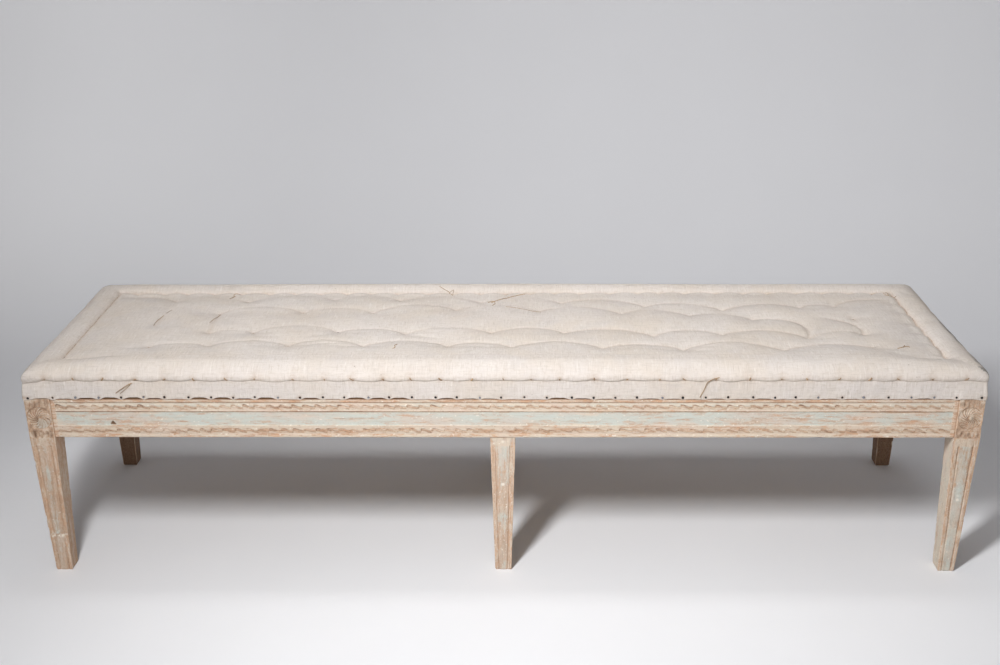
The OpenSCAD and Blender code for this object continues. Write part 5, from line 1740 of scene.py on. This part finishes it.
def tuft_tie(seat, x, y):
    """The small tie that holds a tuft down."""
    a = 0.5 * lattice(int(x * 1000), int(y * 1000), 1, 810)
    dx, dy = 0.0034 * math.cos(a), 0.0034 * math.sin(a)
    line = [seat.drop(x - dx, y - dy, -0.0006), seat.drop(x, y, 0.0006), seat.drop(x + dx, y + dy, -0.0006)]
    return tube(spline(line, 7), 0.0005)


def loose_thread(seat, radius, places):
    """A thread that lies over the seat through the given places, in millimetres."""
    line = [seat.drop(x, y, radius * 0.9) for x, y in spline(np.array(places) * MM, 26)]
    return tube(np.array(line), radius)


def hanging_thread(seat, side, radius, above, places):
    """A thread on the flank of the roll and over the border, through places along and up the side."""
    line = []
    for x, z in spline(places, 22):
        if z > LOW_SEAM_Z + 0.003:
            line.append(seat.press(side, x, z, radius))
        else:
            line.append(side.placed((x, float(side.ground(x)) - above, z)))
    return tube(np.array(line), radius)


def add_twine(cover):
    """Stitches of the two seams, the ties of the tufts and the loose ends, placed after the photo."""
    seat = Seat(cover)
    parts = []
    for side in SIDES.values():
        parts += seam_knots(seat, side)
    parts += running_stitches(seat, SEAM_Y, -SEAM_X, False, 820, 0.15)
    parts += running_stitches(seat, SEAM_X, SEAM_Y, True, 830, 0.25)
    parts += running_stitches(seat, SEAM_Y, SEAM_X, False, 840, 0.9)
    parts += [tuft_tie(seat, x, y) for row in TUFTS for x, y in row]
    threads = (
        (0.0008, ((-623.5, 150), (-618, 168), (-620, 180), (-609, 198))),
        (0.0006, ((-625, 152), (-619, 160), (-615, 172))),
        (0.0007, ((-150, 216), (-138, 206), (-126, 200), (-122, 188), (-118, 176))),
        (0.0006, ((-126, 200), (-117, 206), (-121, 192))),
        (0.0009, ((-28, 118), (-12, 138), (12, 156), (30, 172), (48, 181))),
        (0.0008, ((-36, 124), (-24, 128), (-20, 110), (-26, 96))),
        (0.0006, ((4, 85), (30, 78), (55, 66), (82, 56))),
        (0.0008, ((-223, -168), (-219, -160), (-221, -150), (-216, -144))),
        (0.0009, ((800, -154), (813, -149), (822, -146), (826, -150))),
        (0.0008, ((812, -150), (818, -141))),
        (0.0007, ((874, 196), (879, 180), (877, 166))),
        (0.0007, ((866, 184), (878, 176), (892, 168))),
        (0.0006, ((-742, 32), (-746, 12), (-748, -10), (-747, -30))),
        (0.0006, ((-623, 56), (-624, 34), (-628, 12), (-631, -14))),
        (0.0005, ((-733, 66), (-737, 54), (-739, 44))))
    parts += [loose_thread(seat, radius, places) for radius, places in threads]
    hanging = (
        (0.0008, 0.0031, ((0.4240, 0.4460), (0.4120, 0.4420), (0.4010, 0.4340), (0.3960, 0.4200),
                          (0.3880, 0.4030))),
        (0.0008, 0.0031, ((-0.7295, 0.4340), (-0.7400, 0.4290), (-0.7560, 0.4180), (-0.7640, 0.4120))),
        (0.0006, 0.0030, ((-0.7340, 0.4300), (-0.7450, 0.4200), (-0.7560, 0.4110))))
    parts += [hanging_thread(seat, SIDES["front"], *thread) for thread in hanging]
    points, faces = joined(parts)
    new_object("twine_stitches", points, faces, TWINE)


WORN_PAINT = painted_wood()
LINEN = linen()
IRON = iron()
HEMP = webbing()
JUTE = hessian()
HORSEHAIR = horsehair()
TWINE = twine()
OAK = plain_wood("whittled_oak", 2, (196, 160, 116), (142, 104, 68), (120, 88, 60))
CROSS_PINE = plain_wood("sawn_pine_across", 1, (206, 172, 128), (168, 126, 84), (132, 100, 70))
BLOCK_PINE = plain_wood("sawn_pine_blocks", 0, (200, 166, 124), (160, 120, 82), (126, 96, 68))

add_camera()
add_stage()
add_lamps()
dress_frame_nodes()
add_rails()
add_legs()
seat = add_cover()
add_borders()
add_tacks()
add_webbing()
add_hessian()
add_pegs()
add_twine(seat)
